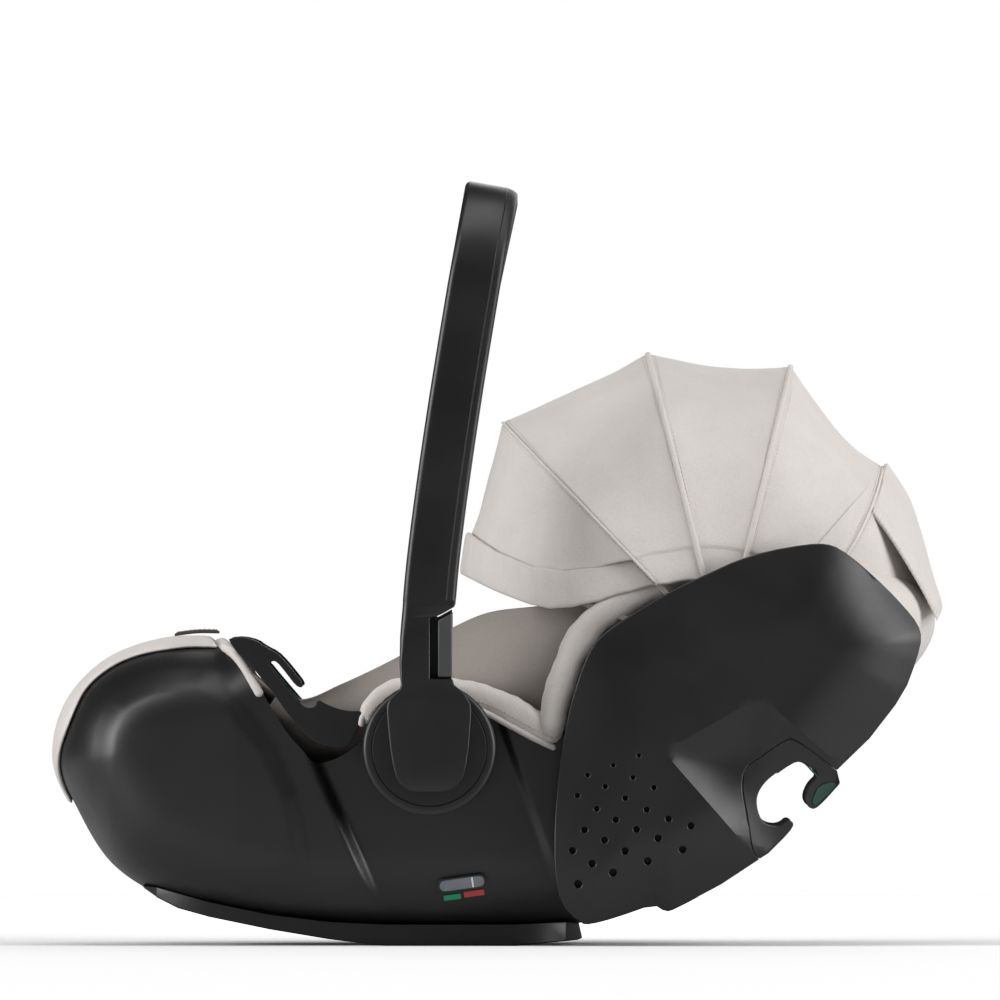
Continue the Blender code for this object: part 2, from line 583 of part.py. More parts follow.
def make_handle_locks(handle):
    for side, tag in ((-1, "L"), (1, "R")):
        button = [(-0.0466, 0.2045), (-0.0352, 0.2045), (-0.0352, 0.2535), (-0.0466, 0.2490)]
        side_plate(f"handle_button_{tag}", button, 0.2185, 0.2010, side, "button_grey", parent=handle)
        pin_x = HUB[0] - 0.0100
        side_plate(f"lock_pin_{tag}", [(pin_x - 0.004, 0.1800), (pin_x + 0.004, 0.1770), (pin_x + 0.0052, 0.2300),
                                       (pin_x - 0.0052, 0.2300)], 0.2090, 0.2000, side, "steel", parent=handle)
        turns, across = 5, 0.0032
        rings = []
        for k in range(turns * 8 + 1):
            turn = 2 * math.pi * k / 8
            centre = np.array([pin_x + across * math.cos(turn), side * 0.2045 + across * math.sin(turn),
                               0.2318 + 0.0225 * k / (turns * 8)])
            out = np.array([math.cos(turn), math.sin(turn), 0.0])
            up = np.array([0.0, 0.0, 1.0])
            rings.append(np.array([centre + 0.0007 * (math.cos(a) * out + math.sin(a) * up)
                                   for a in np.arange(4) * math.pi / 2]))
        loft(f"lock_spring_{tag}", rings, "steel", parent=handle)


# ---- canopy ----
# name, angle from vertical in degrees (positive towards the head), height over the pivot, half width
BOWS = [("brim", -70.6, 0.2080, 0.1605), ("1", -43.7, 0.2385, 0.1680), ("2", -14.0, 0.2305, 0.1655),
        ("3", 13.5, 0.2200, 0.1630), ("4", 41.0, 0.1830, 0.1580)]
BOW_THICKNESS = 0.0020
BOW_WIDTH = 0.0040
ARCH_POWER = 2.5
ARCH_START = 0.050
FABRIC_WALL = 0.0012
CLOTH_LIFT = 0.0026             # inside of the cloth off the outside of the bows
CANOPY_SAG = [0.003, 0.001, 0.005, 0.007]       # how far the cloth sinks between the bows
FABRIC_START = [(-74, 0.136), (-65, 0.100), (-56, 0.083), (-35, 0.070), (-15, 0.064), (60, 0.062)]


def arch(height, half, turns):
    """(distance from the pivot, y) along a bow; turns from 0 (left leg) to pi (right leg)."""
    s, c = np.sin(turns), np.cos(turns)
    out = ARCH_START + (height - ARCH_START) * np.clip(s, 0, 1) ** (2 / ARCH_POWER)
    y = -half * np.sign(c) * np.abs(c) ** (2 / ARCH_POWER)
    return out, y


def from_pivot(out, angle, y, aside=0.0):
    """World point at a distance from the canopy pivot, an angle in degrees and a sideways step."""
    a = math.radians(angle)
    x = CANOPY_PIVOT[0] + out * math.sin(a) + aside * math.cos(a)
    z = CANOPY_PIVOT[1] + out * math.cos(a) - aside * math.sin(a)
    return np.stack([x + 0 * y, y, z + 0 * y], -1)


def make_bow(number, parent):
    name, angle, height, half = BOWS[number]
    turns = np.linspace(0, math.pi, 21)
    out, y = arch(height, half, turns)
    in_out, in_y = arch(height - BOW_THICKNESS, half - BOW_THICKNESS, turns)
    legs = [(-0.0070, 0.0030), (-0.0040, 0.0062), (0.0040, 0.0062), (0.0085, BOW_WIDTH / 2)]
    rings = []
    for reach, wide in legs:
        rings.append((reach, -half, reach, -half + BOW_THICKNESS, wide))
    for k in range(len(turns)):
        rings.append((out[k], y[k], in_out[k], in_y[k], BOW_WIDTH / 2))
    for reach, wide in reversed(legs):
        rings.append((reach, half, reach, half - BOW_THICKNESS, wide))
    solid = []
    for r0, y0, r1, y1, wide in rings:
        solid.append(np.array([from_pivot(r0, angle, y0, -wide), from_pivot(r0, angle, y0, wide),
                               from_pivot(r1, angle, y1, wide), from_pivot(r1, angle, y1, -wide)]))
    label = "canopy_brim_bow" if name == "brim" else f"canopy_bow_{name}"
    bow = loft(label, solid, "shell_black", parent)
    pin = rod("pin_cutter", (CANOPY_PIVOT[0], -0.19, CANOPY_PIVOT[1]), (CANOPY_PIVOT[0], 0.19, CANOPY_PIVOT[1]),
              0.0033, "steel", 12, parent)
    cut(bow, pin)


def canopy_cloth(name, first, last, angles, sag, parent):
    """Cloth between two bows: straight lines between their arches, with the middle sunk in."""
    turns = np.linspace(0, math.pi, 17)
    grids = []
    for lift in (CLOTH_LIFT + FABRIC_WALL, CLOTH_LIFT):
        ends = []
        for _, angle, height, half in (BOWS[first], BOWS[last]):
            out, y = arch(height + lift, half + lift, turns)
            ends.append(from_pivot(out, angle, y))
        start, stop = BOWS[first][1], BOWS[last][1]
        rows = []
        for angle in angles:
            t = (angle - start) / (stop - start)
            chord = ends[0] * (1 - t) + ends[1] * t
            sink = sag * 4 * t * (1 - t) * np.sin(turns)
            dx, dz = chord[:, 0] - CANOPY_PIVOT[0], chord[:, 2] - CANOPY_PIVOT[1]
            reach = np.hypot(dx, dz)
            least = np.interp(angle, *zip(*FABRIC_START))
            wanted = np.maximum(reach - sink, least)
            rows.append(np.stack([CANOPY_PIVOT[0] + dx / reach * wanted, chord[:, 1],
                                  CANOPY_PIVOT[1] + dz / reach * wanted], 1))
        grids.append(np.array(rows))
    return grid_solid(name, grids[0], grids[1], "beige_fabric", parent)


def make_canopy(parents):
    for number in range(len(BOWS)):
        make_bow(number, parents[number])
    for k in range(4):
        start = BOWS[k][1] + 0.2 if k else -74.0
        angles = np.linspace(start, BOWS[k + 1][1] - 0.2, 5)
        canopy_cloth(f"canopy_cloth_{k + 1}", k, k + 1, angles, CANOPY_SAG[k], parents[k])
    rivet = [(0.0008, 0.1730), (0.0100, 0.1730), (0.0100, 0.1705), (0.0030, 0.1705), (0.0030, 0.1555),
             (0.0050, 0.1555), (0.0050, 0.1540), (0.0008, 0.1540)]
    for side, tag in ((-1, "L"), (1, "R")):
        turned(f"canopy_pivot_{tag}", rivet, *CANOPY_PIVOT, side, "steel", 12)


# the flap's middle and its side edges, from the last bow down
FLAP_MIDDLE = [(0.2945, 0.3660), (0.3110, 0.3400), (0.3210, 0.3110), (0.3290, 0.2820), (0.3374, 0.2560)]
FLAP_EDGE = [(0.2831, 0.3289), (0.2950, 0.3130), (0.3080, 0.2930), (0.3210, 0.2710), (0.3331, 0.2472)]
FLAP_HALF_WIDTHS = (0.115, 0.132)
FLAP_WALL = 0.003


def make_rear_flap():
    outside = np.array([0.80, 0.60])
    across = np.linspace(-1, 1, 13)
    middle, edge = smooth_curve(FLAP_MIDDLE, 2), smooth_curve(FLAP_EDGE, 2)
    half = np.linspace(*FLAP_HALF_WIDTHS, len(middle))
    grids = []
    for lift in (FLAP_WALL, 0.0):
        rows = []
        for k in range(len(middle)):
            bent = (np.abs(across) ** 2.2)[:, None]
            line = middle[k] * (1 - bent) + edge[k] * bent + lift * outside
            rows.append(np.stack([line[:, 0], across * (half[k] + lift), line[:, 1]], 1))
        grids.append(np.array(rows))
    grid_solid("canopy_rear_flap", grids[0], grids[1], "beige_fabric")


# ---- padding ----
# middle line of the seat surface, the side rim that each section runs to, and its half width
SEAT_SECTIONS = [
    ((-0.203, 0.2195), (-0.198, 0.213), 0.100), ((-0.180, 0.192), (-0.176, 0.198), 0.116),
    ((-0.145, 0.155), (-0.150, 0.1865), 0.125), ((-0.105, 0.122), (-0.120, 0.198), 0.129),
    ((-0.065, 0.088), (-0.085, 0.2145), 0.131), ((-0.030, 0.066), (-0.045, 0.236), 0.133),
    ((0.000, 0.060), (-0.010, 0.252), 0.134), ((0.035, 0.068), (0.025, 0.257), 0.135),
    ((0.075, 0.093), (0.060, 0.260), 0.135), ((0.120, 0.130), (0.100, 0.266), 0.135),
    ((0.170, 0.172), (0.145, 0.276), 0.134), ((0.215, 0.210), (0.185, 0.284), 0.129),
    ((0.245, 0.240), (0.215, 0.290), 0.119), ((0.260, 0.268), (0.238, 0.294), 0.108),
    ((0.264, 0.290), (0.250, 0.296), 0.100),
]
SEAT_POWER = 2.4
COVER_WALL = 0.005
LINER_WALL = 0.011


def seat_grid(s_values, v_values):
    """Grid over the seat surface; s from foot to head, v from -1 (left rim) to 1."""
    s, v = np.meshgrid(s_values, v_values, indexing="ij")
    keel = curve_at([k for k, _, _ in SEAT_SECTIONS], s)
    rim = curve_at([r for _, r, _ in SEAT_SECTIONS], s)
    half = curve_at([(w, 0) for _, _, w in SEAT_SECTIONS], s)[..., 0]
    turn = np.abs(v) * math.pi / 2
    depth = np.cos(turn) ** (2 / SEAT_POWER)
    y = np.sign(v) * half * np.sin(turn) ** (2 / SEAT_POWER)
    flat = rim + (keel - rim) * depth[..., None]
    return np.stack([flat[..., 0], y, flat[..., 1]], -1)


SEAT_ROWS, SEAT_COLUMNS = 22, 15
SEAT = seat_grid(even(SEAT_ROWS, 0, 1), even(SEAT_COLUMNS))
SEAT_UP = grid_normals(SEAT)


def seat_layer(name, rows, margin, bottom, top, colour, parent=None):
    """A soft plate on rows first to last of the seat surface, margin columns in from its side rims."""
    part = (slice(rows[0], rows[1] + 1), slice(margin, SEAT_COLUMNS - margin))
    grid, up = SEAT[part], SEAT_UP[part]
    return grid_solid(name, grid + bottom * up, grid + top * up, colour, parent)


def make_padding():
    seat_layer("seat_cover", (0, 21), 0, -COVER_WALL, 0.0, "beige_fabric")
    seat_layer("foam_liner", (2, 19), 1, -COVER_WALL - LINER_WALL, -COVER_WALL - 0.0012, "foam")
    seat_layer("newborn_insert", (4, 12), 1, 0.0012, 0.0150, "grey_fabric")


def make_rim_covers(grid, inward):
    """Cloth that wraps the foot and head noses outside the shell, and the rims by the hubs."""
    for name, rows in (("foot_rim_cover", slice(0, 8)), ("head_rim_cover", slice(24, 28))):
        part = (rows, slice(8, 15))
        grid_solid(name, grid[part] - 0.0034 * inward[part], grid[part] - 0.0006 * inward[part], "beige_fabric")
    cap = [(-0.1020, 0.1722), (-0.1000, 0.1803), (-0.0938, 0.1915), (-0.0790, 0.2010), (-0.0600, 0.2065),
           (-0.0370, 0.2041), (-0.0217, 0.2011), (-0.0065, 0.1961), (0.0088, 0.1900), (0.0248, 0.1808),
           (0.0390, 0.1715), (0.0440, 0.1670), (0.0425, 0.1632), (0.0290, 0.1650), (0.0110, 0.1765),
           (-0.0110, 0.1860), (-0.0440, 0.1935), (-0.0700, 0.1890), (-0.0900, 0.1780)]
    for side, tag in ((-1, "L"), (1, "R")):
        side_plate(f"side_rim_cover_{tag}", cap, 0.1690, 0.1510, side, "beige_fabric")


def make_tag():
    line = smooth_curve([(-0.2470, 0.2335), (-0.2300, 0.2355), (-0.2130, 0.2355)], 3)
    across = even(3, -0.020, 0.020)
    low = np.array([[(x, y, z) for y in across] for x, z in line])
    grid_solid("leather_tag", low + np.array([0, 0, 0.0045]), low + np.array([0, 0, 0.0015]), "leather")


# ---- headrest, which slides along the backrest ----
def make_headrest(body):
    seat_layer("headrest_frame", (13, 16), 4, 0.0060, 0.0090, "shell_black", body)
    seat_layer("headrest_pad", (13, 16), 4, 0.0100, 0.0240, "beige_fabric", body)


# ---- harness ----
def over_seat(s, v, height):
    """Point at a height over the seat surface, and the direction away from it."""
    step = 0.004
    patch = seat_grid(np.array([s - step, s, s + step]), np.array([v - step, v, v + step]))
    up = np.cross(patch[2, 1] - patch[0, 1], patch[1, 2] - patch[1, 0])
    up /= np.linalg.norm(up)
    return patch[1, 1] + height * up, up


def ribbon(name, s_values, v_values, bottom, top, wide, colour, parent=None):
    """A flat strap that follows the seat surface along (s, v), between two heights over it."""
    found = [over_seat(s, v, bottom) for s, v in zip(s_values, v_values)]
    points = np.array([point for point, _ in found])
    along = np.gradient(points, axis=0)
    low, high = [], []
    for (point, up), way in zip(found, along):
        across = np.cross(up, way)
        across *= wide / 2 / np.linalg.norm(across)
        row = np.array([point - across, point, point + across])
        low.append(row)
        high.append(row + (top - bottom) * up)
    return grid_solid(name, np.array(high), np.array(low), colour, parent)


BUCKLE_S = 0.375


def seat_frame(s, v, height):
    """Point over the seat surface and its axes: across, along and up."""
    point, up = over_seat(s, v, height)
    along = over_seat(s + 0.01, v, height)[0] - point
    across = np.cross(up, along)
    across /= np.linalg.norm(across)
    return point, [across, np.cross(up, across), up]


def make_harness(buckle_button, adjuster_button):
    s = even(10, 0.605, 0.478)
    out = np.linspace(0.17, 0.06, 10)
    for side, tag in ((-1, "L"), (1, "R")):
        ribbon(f"shoulder_strap_{tag}", s, side * out, 0.0275, 0.0290, 0.030, "webbing")
        ribbon(f"shoulder_pad_{tag}", s[:6], side * out[:6], 0.0298, 0.0380, 0.044, "grey_fabric")
    over = even(11, -0.60, 0.60)
    ribbon("lap_strap", 0.402 - 0.02 * np.abs(over), over, 0.0215, 0.0230, 0.026, "webbing")
    ribbon("crotch_strap", even(3, 0.280, 0.320), np.zeros(3), 0.0200, 0.0220, 0.036, "webbing")
    ribbon("crotch_pad", even(4, 0.270, 0.305), np.zeros(4), 0.0230, 0.0310, 0.052, "grey_fabric")
    centre, axes = seat_frame(BUCKLE_S, 0.0, 0.0370)
    buckle = block("buckle_body", centre, (0.046, 0.046, 0.016), "shell_black", axes, bevel=0.003)
    centre, axes = seat_frame(BUCKLE_S, 0.0, 0.0435)
    cut(buckle, block("button_cutter", centre, (0.0230, 0.0230, 0.0080), "steel", axes))
    centre, axes = seat_frame(BUCKLE_S, 0.0, 0.0455)
    block("buckle_button", centre, (0.022, 0.022, 0.005), "red", axes, buckle_button, 0.0015)
    centre, axes = seat_frame(0.110, 0.0, 0.0050)
    adjuster = block("belt_adjuster", centre, (0.040, 0.024, 0.008), "shell_black", axes, bevel=0.002)
    centre, axes = seat_frame(0.110, 0.0, 0.0085)
    cut(adjuster, block("button_cutter", centre, (0.0250, 0.0150, 0.0060), "steel", axes))
    centre, axes = seat_frame(0.110, 0.0, 0.0100)
    block("adjuster_button", centre, (0.024, 0.014, 0.004), "button_grey", axes, adjuster_button, 0.001)


# ---- small parts on the sides ----
def badge(name, outline, lift, height, side, colour):
    return side_plate(name, outline, lambda x, z: shell_side(x, z) + lift + height,
                      lambda x, z: shell_side(x, z) + lift, side, colour)


def capsule(x, z, long, high, tilt):
    turn = np.concatenate([np.linspace(-90, 90, 6), np.linspace(90, 270, 6)])
    shift = np.where(np.arange(12) < 6, 1, -1) * (long - high) / 2
    u = shift + high / 2 * np.cos(np.radians(turn))
    v = high / 2 * np.sin(np.radians(turn))
    c, s = math.cos(tilt), math.sin(tilt)
    return np.stack([x + u * c - v * s, z + u * s + v * c], 1)


def make_level_gauge():
    vial = capsule(-0.0279, 0.0473, 0.0345, 0.0085, math.radians(8))
    for side, tag in ((-1, "L"), (1, "R")):
        badge(f"level_gauge_{tag}", vial, 0.0012, 0.0016, side, "vial")


def make_release_lever(hinge):
    axis = Vector((0.2700, 0, 0.1810))
    along = np.array([0.86, 0.0, 0.51])
    up = np.array([-0.51, 0.0, 0.86])
    across = np.array([0.0, -1.0, 0.0])
    centre = np.array(axis) - 0.004 * up - 0.018 * along
    block("release_lever", centre, (0.090, 0.044, 0.006), "button_grey", [across, along, up], hinge, 0.0015)


def build():
    for obj in list(bpy.data.objects):
        bpy.data.objects.remove(obj, do_unlink=True)
    shell = shell_grid(even(28, 0, 1), even(23))
    inward = grid_normals(shell)
    make_shell(shell, inward)
    make_base()
    make_rear_panels()
    make_belt_guides()
    make_hubs()
    handle = axis_empty("handle_axis", HUB[0], 0, HUB[1])
    make_handle(handle)
    make_handle_locks(handle)
    pivot = [axis_empty(f"canopy_axis_{k}", CANOPY_PIVOT[0], 0, CANOPY_PIVOT[1]) for k in range(5)]
    make_canopy(pivot)
    make_rear_flap()
    make_padding()
    make_rim_covers(shell, inward)
    make_tag()
    headrest = axis_empty("headrest_slide", 0.2, 0, 0.2)
    make_headrest(headrest)
    make_harness(axis_empty("buckle_button_slide", 0, 0, 0.1), axis_empty("adjuster_button_slide", -0.1, 0, 0.1))
    make_level_gauge()
    make_release_lever(axis_empty("release_lever_axis", 0.27, 0, 0.181))


build()
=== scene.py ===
"""The looks of the infant car seat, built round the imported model.

X runs from the foot end (-) to the head end (+), Y from the child's left (-) to right (+), Z is up. Metres.
"""
import json
import math

import bmesh
import bpy
import numpy as np
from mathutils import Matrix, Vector
from mathutils.geometry import delaunay_2d_cdt

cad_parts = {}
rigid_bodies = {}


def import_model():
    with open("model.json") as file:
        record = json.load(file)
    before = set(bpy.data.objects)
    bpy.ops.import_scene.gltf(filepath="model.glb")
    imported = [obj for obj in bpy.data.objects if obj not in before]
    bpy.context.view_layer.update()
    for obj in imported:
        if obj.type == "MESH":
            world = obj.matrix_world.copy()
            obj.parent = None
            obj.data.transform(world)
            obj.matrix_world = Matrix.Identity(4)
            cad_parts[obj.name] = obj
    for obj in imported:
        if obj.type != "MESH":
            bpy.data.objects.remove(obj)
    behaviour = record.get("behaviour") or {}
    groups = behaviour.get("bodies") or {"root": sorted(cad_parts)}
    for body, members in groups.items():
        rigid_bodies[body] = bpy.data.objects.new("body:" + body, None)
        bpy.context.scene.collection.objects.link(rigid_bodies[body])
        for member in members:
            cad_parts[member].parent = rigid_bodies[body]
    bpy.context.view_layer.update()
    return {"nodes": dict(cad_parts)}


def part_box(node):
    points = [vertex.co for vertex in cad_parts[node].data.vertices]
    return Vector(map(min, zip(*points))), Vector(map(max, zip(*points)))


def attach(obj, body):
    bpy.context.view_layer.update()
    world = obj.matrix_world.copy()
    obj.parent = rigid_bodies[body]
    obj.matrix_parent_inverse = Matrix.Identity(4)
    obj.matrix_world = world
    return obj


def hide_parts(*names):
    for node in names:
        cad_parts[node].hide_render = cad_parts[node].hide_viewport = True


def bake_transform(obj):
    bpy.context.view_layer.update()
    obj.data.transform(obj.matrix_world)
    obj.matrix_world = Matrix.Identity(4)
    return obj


for old in list(bpy.data.objects):
    bpy.data.objects.remove(old, do_unlink=True)
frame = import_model()

SIDES = ((-1, "L"), (1, "R"))
HUB = (-0.0525, 0.1500)          # x, z of the handle's hinge
CANOPY_PIVOT = (0.1705, 0.2228)
HANDLE_HALF_WIDTH = 0.220
HANDLE_HEIGHT = 0.581


# ---------------------------------------------------------------- materials
def new_material(name, colour, roughness, metallic=0.0, sheen=0.0, coat=0.0):
    made = bpy.data.materials.new(name)
    made.use_nodes = True
    shader = made.node_tree.nodes["Principled BSDF"]
    shader.inputs["Base Color"].default_value = (*colour, 1.0)
    shader.inputs["Roughness"].default_value = roughness
    shader.inputs["Metallic"].default_value = metallic
    shader.inputs["Sheen Weight"].default_value = sheen
    shader.inputs["Sheen Roughness"].default_value = 0.45
    shader.inputs["Coat Weight"].default_value = coat
    shader.inputs["Coat Roughness"].default_value = 0.08
    return made, made.node_tree, shader


def place_of(tree, stretch=(1, 1, 1)):
    """Object coordinates, stretched per axis."""
    coordinates = tree.nodes.new("ShaderNodeTexCoord")
    mapping = tree.nodes.new("ShaderNodeMapping")
    mapping.inputs["Scale"].default_value = stretch
    tree.links.new(coordinates.outputs["Object"], mapping.inputs["Vector"])
    return mapping.outputs["Vector"]


def noise(tree, scale, detail=2.0, stretch=(1, 1, 1)):
    made = tree.nodes.new("ShaderNodeTexNoise")
    made.inputs["Scale"].default_value = scale
    made.inputs["Detail"].default_value = detail
    tree.links.new(place_of(tree, stretch), made.inputs["Vector"])
    return made.outputs["Fac"]


def cells(tree, scale, feature="F1", stretch=(1, 1, 1)):
    made = tree.nodes.new("ShaderNodeTexVoronoi")
    made.feature = feature
    made.inputs["Scale"].default_value = scale
    tree.links.new(place_of(tree, stretch), made.inputs["Vector"])
    return made.outputs["Distance"]


def waves(tree, scale, direction):
    made = tree.nodes.new("ShaderNodeTexWave")
    made.bands_direction = direction
    made.inputs["Scale"].default_value = scale
    made.inputs["Distortion"].default_value = 0.3
    made.inputs["Detail Scale"].default_value = 4.0
    tree.links.new(place_of(tree), made.inputs["Vector"])
    return made.outputs["Fac"]


def mapped(tree, value, low, high, from_low=0.3, from_high=0.7):
    made = tree.nodes.new("ShaderNodeMapRange")
    made.inputs["From Min"].default_value = from_low
    made.inputs["From Max"].default_value = from_high
    made.inputs["To Min"].default_value = low
    made.inputs["To Max"].default_value = high
    tree.links.new(value, made.inputs["Value"])
    return made.outputs["Result"]


def mixed(tree, share, first, second):
    """Colour that goes from first to second with a 0 to 1 share."""
    made = tree.nodes.new("ShaderNodeMix")
    made.data_type = "RGBA"
    made.inputs[6].default_value = (*first, 1.0)
    made.inputs[7].default_value = (*second, 1.0)
    tree.links.new(share, made.inputs[0])
    return made.outputs[2]


def bumps(tree, shader, layers):
    """Raise the surface by each (height from 0 to 1, size in metres, strength)."""
    before = None
    for height, size, strength in layers:
        made = tree.nodes.new("ShaderNodeBump")
        made.inputs["Distance"].default_value = size
        made.inputs["Strength"].default_value = strength
        tree.links.new(height, made.inputs["Height"])
        if before:
            tree.links.new(before, made.inputs["Normal"])
        before = made.outputs["Normal"]
    tree.links.new(before, shader.inputs["Normal"])


def shade(colour, factor):
    return tuple(c * factor for c in colour)


def tint(tree, shader, share, colour, dark, light):
    """Vary the base colour between a darker and a lighter shade of a colour."""
    made = mixed(tree, share, shade(colour, dark), shade(colour, light))
    tree.links.new(made, shader.inputs["Base Color"])


def plastic(name, colour, roughness):
    """Moulded plastic with a fine spark-eroded grain."""
    made, tree, shader = new_material(name, colour, roughness)
    uneven = mapped(tree, noise(tree, 18), roughness - 0.04, roughness + 0.05)
    tree.links.new(uneven, shader.inputs["Roughness"])
    tint(tree, shader, noise(tree, 60, 4), colour, 0.92, 1.1)
    shader.inputs["Specular IOR Level"].default_value = PLASTIC_SHINE
    bumps(tree, shader, [(noise(tree, 1500, 3), 0.00012, 0.35), (noise(tree, 90), 0.0002, 0.10)])
    return made


def knit(name, colour, cell=1150):
    """Soft knitted cover cloth: mottled yarn, small loops, a faint nap."""
    made, tree, shader = new_material(name, colour, 0.92, sheen=0.18)
    mottled = tree.nodes.new("ShaderNodeMath")
    mottled.operation = "ADD"
    tree.links.new(mapped(tree, noise(tree, 1400, 2, (1, 1, 0.45)), 0.0, 0.7), mottled.inputs[0])
    tree.links.new(mapped(tree, noise(tree, 40, 3), 0.0, 0.3), mottled.inputs[1])
    tint(tree, shader, mottled.outputs[0], colour, 0.90, 1.08)
    loops = cells(tree, cell, "F1", (1, 1, 0.7))
    bumps(tree, shader, [(loops, 0.0003, 0.42), (noise(tree, 120, 3), 0.0006, 0.12)])
    return made


def woven(name, colour):
    """Seat belt webbing: ribs along its length with a fine cross weave."""
    made, tree, shader = new_material(name, colour, 0.62, sheen=0.1)
    ribs = waves(tree, 340, "Y")
    tint(tree, shader, ribs, colour, 0.7, 1.35)
    bumps(tree, shader, [(ribs, 0.0003, 0.7), (cells(tree, 1600), 0.0002, 0.4)])
    return made


def hide(name, colour):
    """Grained leather."""
    made, tree, shader = new_material(name, colour, 0.55)
    tint(tree, shader, noise(tree, 220, 4), colour, 0.75, 1.3)
    bumps(tree, shader, [(cells(tree, 900, "DISTANCE_TO_EDGE"), 0.0003, 0.6), (noise(tree, 60), 0.0005, 0.2)])
    return made


def metal(name, colour):
    """Drawn, zinc plated steel."""
    made, tree, shader = new_material(name, colour, 0.32, metallic=1.0)
    tree.links.new(mapped(tree, noise(tree, 900, 2, (1, 0.05, 1)), 0.24, 0.42), shader.inputs["Roughness"])
    bumps(tree, shader, [(noise(tree, 1200, 2, (1, 0.05, 1)), 0.00005, 0.4)])
    return made


def beads(name, colour):
    """Expanded foam with its pressed beads."""
    made, tree, shader = new_material(name, colour, 0.85)
    edges = cells(tree, 320, "DISTANCE_TO_EDGE")
    tint(tree, shader, mapped(tree, edges, 0, 1, 0.0, 0.2), colour, 0.7, 1.0)
    bumps(tree, shader, [(mapped(tree, edges, 0, 1, 0.0, 0.25), 0.0006, 0.6)])
    return made


def clear(name, colour):
    """A glossy window over a liquid."""
    made, tree, shader = new_material(name, colour, 0.16, coat=1.0)
    tint(tree, shader, noise(tree, 70), colour, 0.8, 1.25)
    bumps(tree, shader, [(noise(tree, 400), 0.0001, 0.05)])
    return made


PLASTIC_SHINE = 0.62             # specular level
BEIGE = (0.610, 0.572, 0.545)
LOOKS = {   # look: (material, the record's slot)
    "black": (plastic("black_plastic", (0.0040, 0.0040, 0.0042), 0.41), "black_plastic"),
    "black_fine": (plastic("black_fine_plastic", (0.0038, 0.0038, 0.0040), 0.39), "black_plastic"),
    "hub": (plastic("hub_plastic", (0.0062, 0.0062, 0.0065), 0.40), "grey_plastic"),
    "trim": (plastic("trim_plastic", (0.0050, 0.0050, 0.0053), 0.46), "grey_plastic"),
    "button": (plastic("button_plastic", (0.046, 0.049, 0.050), 0.42), "button_plastic"),
    "red": (plastic("red_plastic", (0.52, 0.045, 0.04), 0.32), "red_plastic"),
    "green": (plastic("green_plastic", (0.0, 0.30, 0.14), 0.38), "button_plastic"),
    "liner": (plastic("liner_plastic", (0.002, 0.048, 0.030), 0.5), "button_plastic"),
    "white": (plastic("white_plastic", (0.78, 0.78, 0.76), 0.30), "button_plastic"),
    "beige": (knit("beige_cloth", BEIGE), "beige_fabric"),
    "taupe": (knit("taupe_cloth", (0.310, 0.278, 0.255)), "beige_fabric"),
    "grey": (knit("grey_cloth", (0.36, 0.33, 0.31), 1000), "grey_fabric"),
    "webbing": (woven("black_webbing", (0.022, 0.022, 0.023)), "webbing"),
    "thread": (plastic("thread", (0.52, 0.47, 0.43), 0.7), "beige_fabric"),
    "foam": (beads("foam_beads", (0.20, 0.20, 0.21)), "foam"),
    # near-black matte sheet: painted shade seen through the vent holes
    "painted_vent_shade": (plastic("vent_painted_shade", (0.002, 0.002, 0.002), 0.9), "black_plastic"),
    "steel": (metal("plated_steel", (0.58, 0.58, 0.60)), "steel"),
    "window": (clear("gauge_window", (0.145, 0.165, 0.190)), "gauge"),
    "leather": (hide("tag_leather", (0.040, 0.027, 0.025)), "leather"),
}


# ---------------------------------------------------------------- curves and meshes
def even(count, low=-1.0, high=1.0):
    return np.linspace(low, high, count)


def edged(count, low, high, fine=(0.004, 0.010, 0.020)):
    """Even values from low to high, with closer ones by both ends."""
    inner = np.linspace(fine[-1] * 1.6, 1 - fine[-1] * 1.6, count)
    share = np.concatenate([[0], fine, inner, 1 - np.array(fine)[::-1], [1]])
    return low + (high - low) * share


def smooth_step(t):
    t = np.clip(t, 0, 1)
    return t * t * (3 - 2 * t)


def groove(t, at, width):
    """1 where t is at a place, falling softly to 0 beside it."""
    return np.exp(-((t - at) / width) ** 2)


def smooth_curve(points, steps):
    """A Catmull-Rom curve through the points, with steps points per span."""
    pts = np.array(points, float)
    pts = np.vstack([2 * pts[0] - pts[1], pts, 2 * pts[-1] - pts[-2]])
    out = []
    for a, b, c, d in zip(pts, pts[1:], pts[2:], pts[3:]):
        for t in np.arange(steps) / steps:
            out.append(0.5 * (2 * b + (c - a) * t + (2 * a - 5 * b + 4 * c - d) * t**2
                              + (3 * b - a - 3 * c + d) * t**3))
    out.append(pts[-2])
    return np.array(out)


def curve_at(points, t):
    """Points of the smooth curve at parameters t, from 0 to 1 along its control points."""
    dense = smooth_curve(points, 16)
    at = np.clip(np.asarray(t, float), 0, 1) * (len(dense) - 1)
    low = np.minimum(at.astype(int), len(dense) - 2)
    part = (at - low)[..., None]
    return dense[low] * (1 - part) + dense[low + 1] * part


def full_turn(count):
    """Even angles round a circle."""
    return np.arange(count) * 2 * math.pi / count


def circle(x, z, radius, count):
    turn = full_turn(count)
    return np.stack([x + radius * np.cos(turn), z + radius * np.sin(turn)], 1)


def power_of(value, power):
    """A sine or cosine made squarer: its sign, with a root of its size."""
    return np.sign(value) * np.abs(value) ** (2 / power)


def running_length(line):
    """Length of a polyline up to each of its points."""
    return np.concatenate([[0], np.cumsum(np.linalg.norm(np.diff(line, axis=0), axis=1))])


def along_line(line, share):
    """Points at shares of a polyline's length."""
    line = np.array(line, float)
    run = running_length(line)
    at = np.asarray(share) * run[-1]
    return np.stack([np.interp(at, run, line[:, k]) for k in range(line.shape[1])], -1)


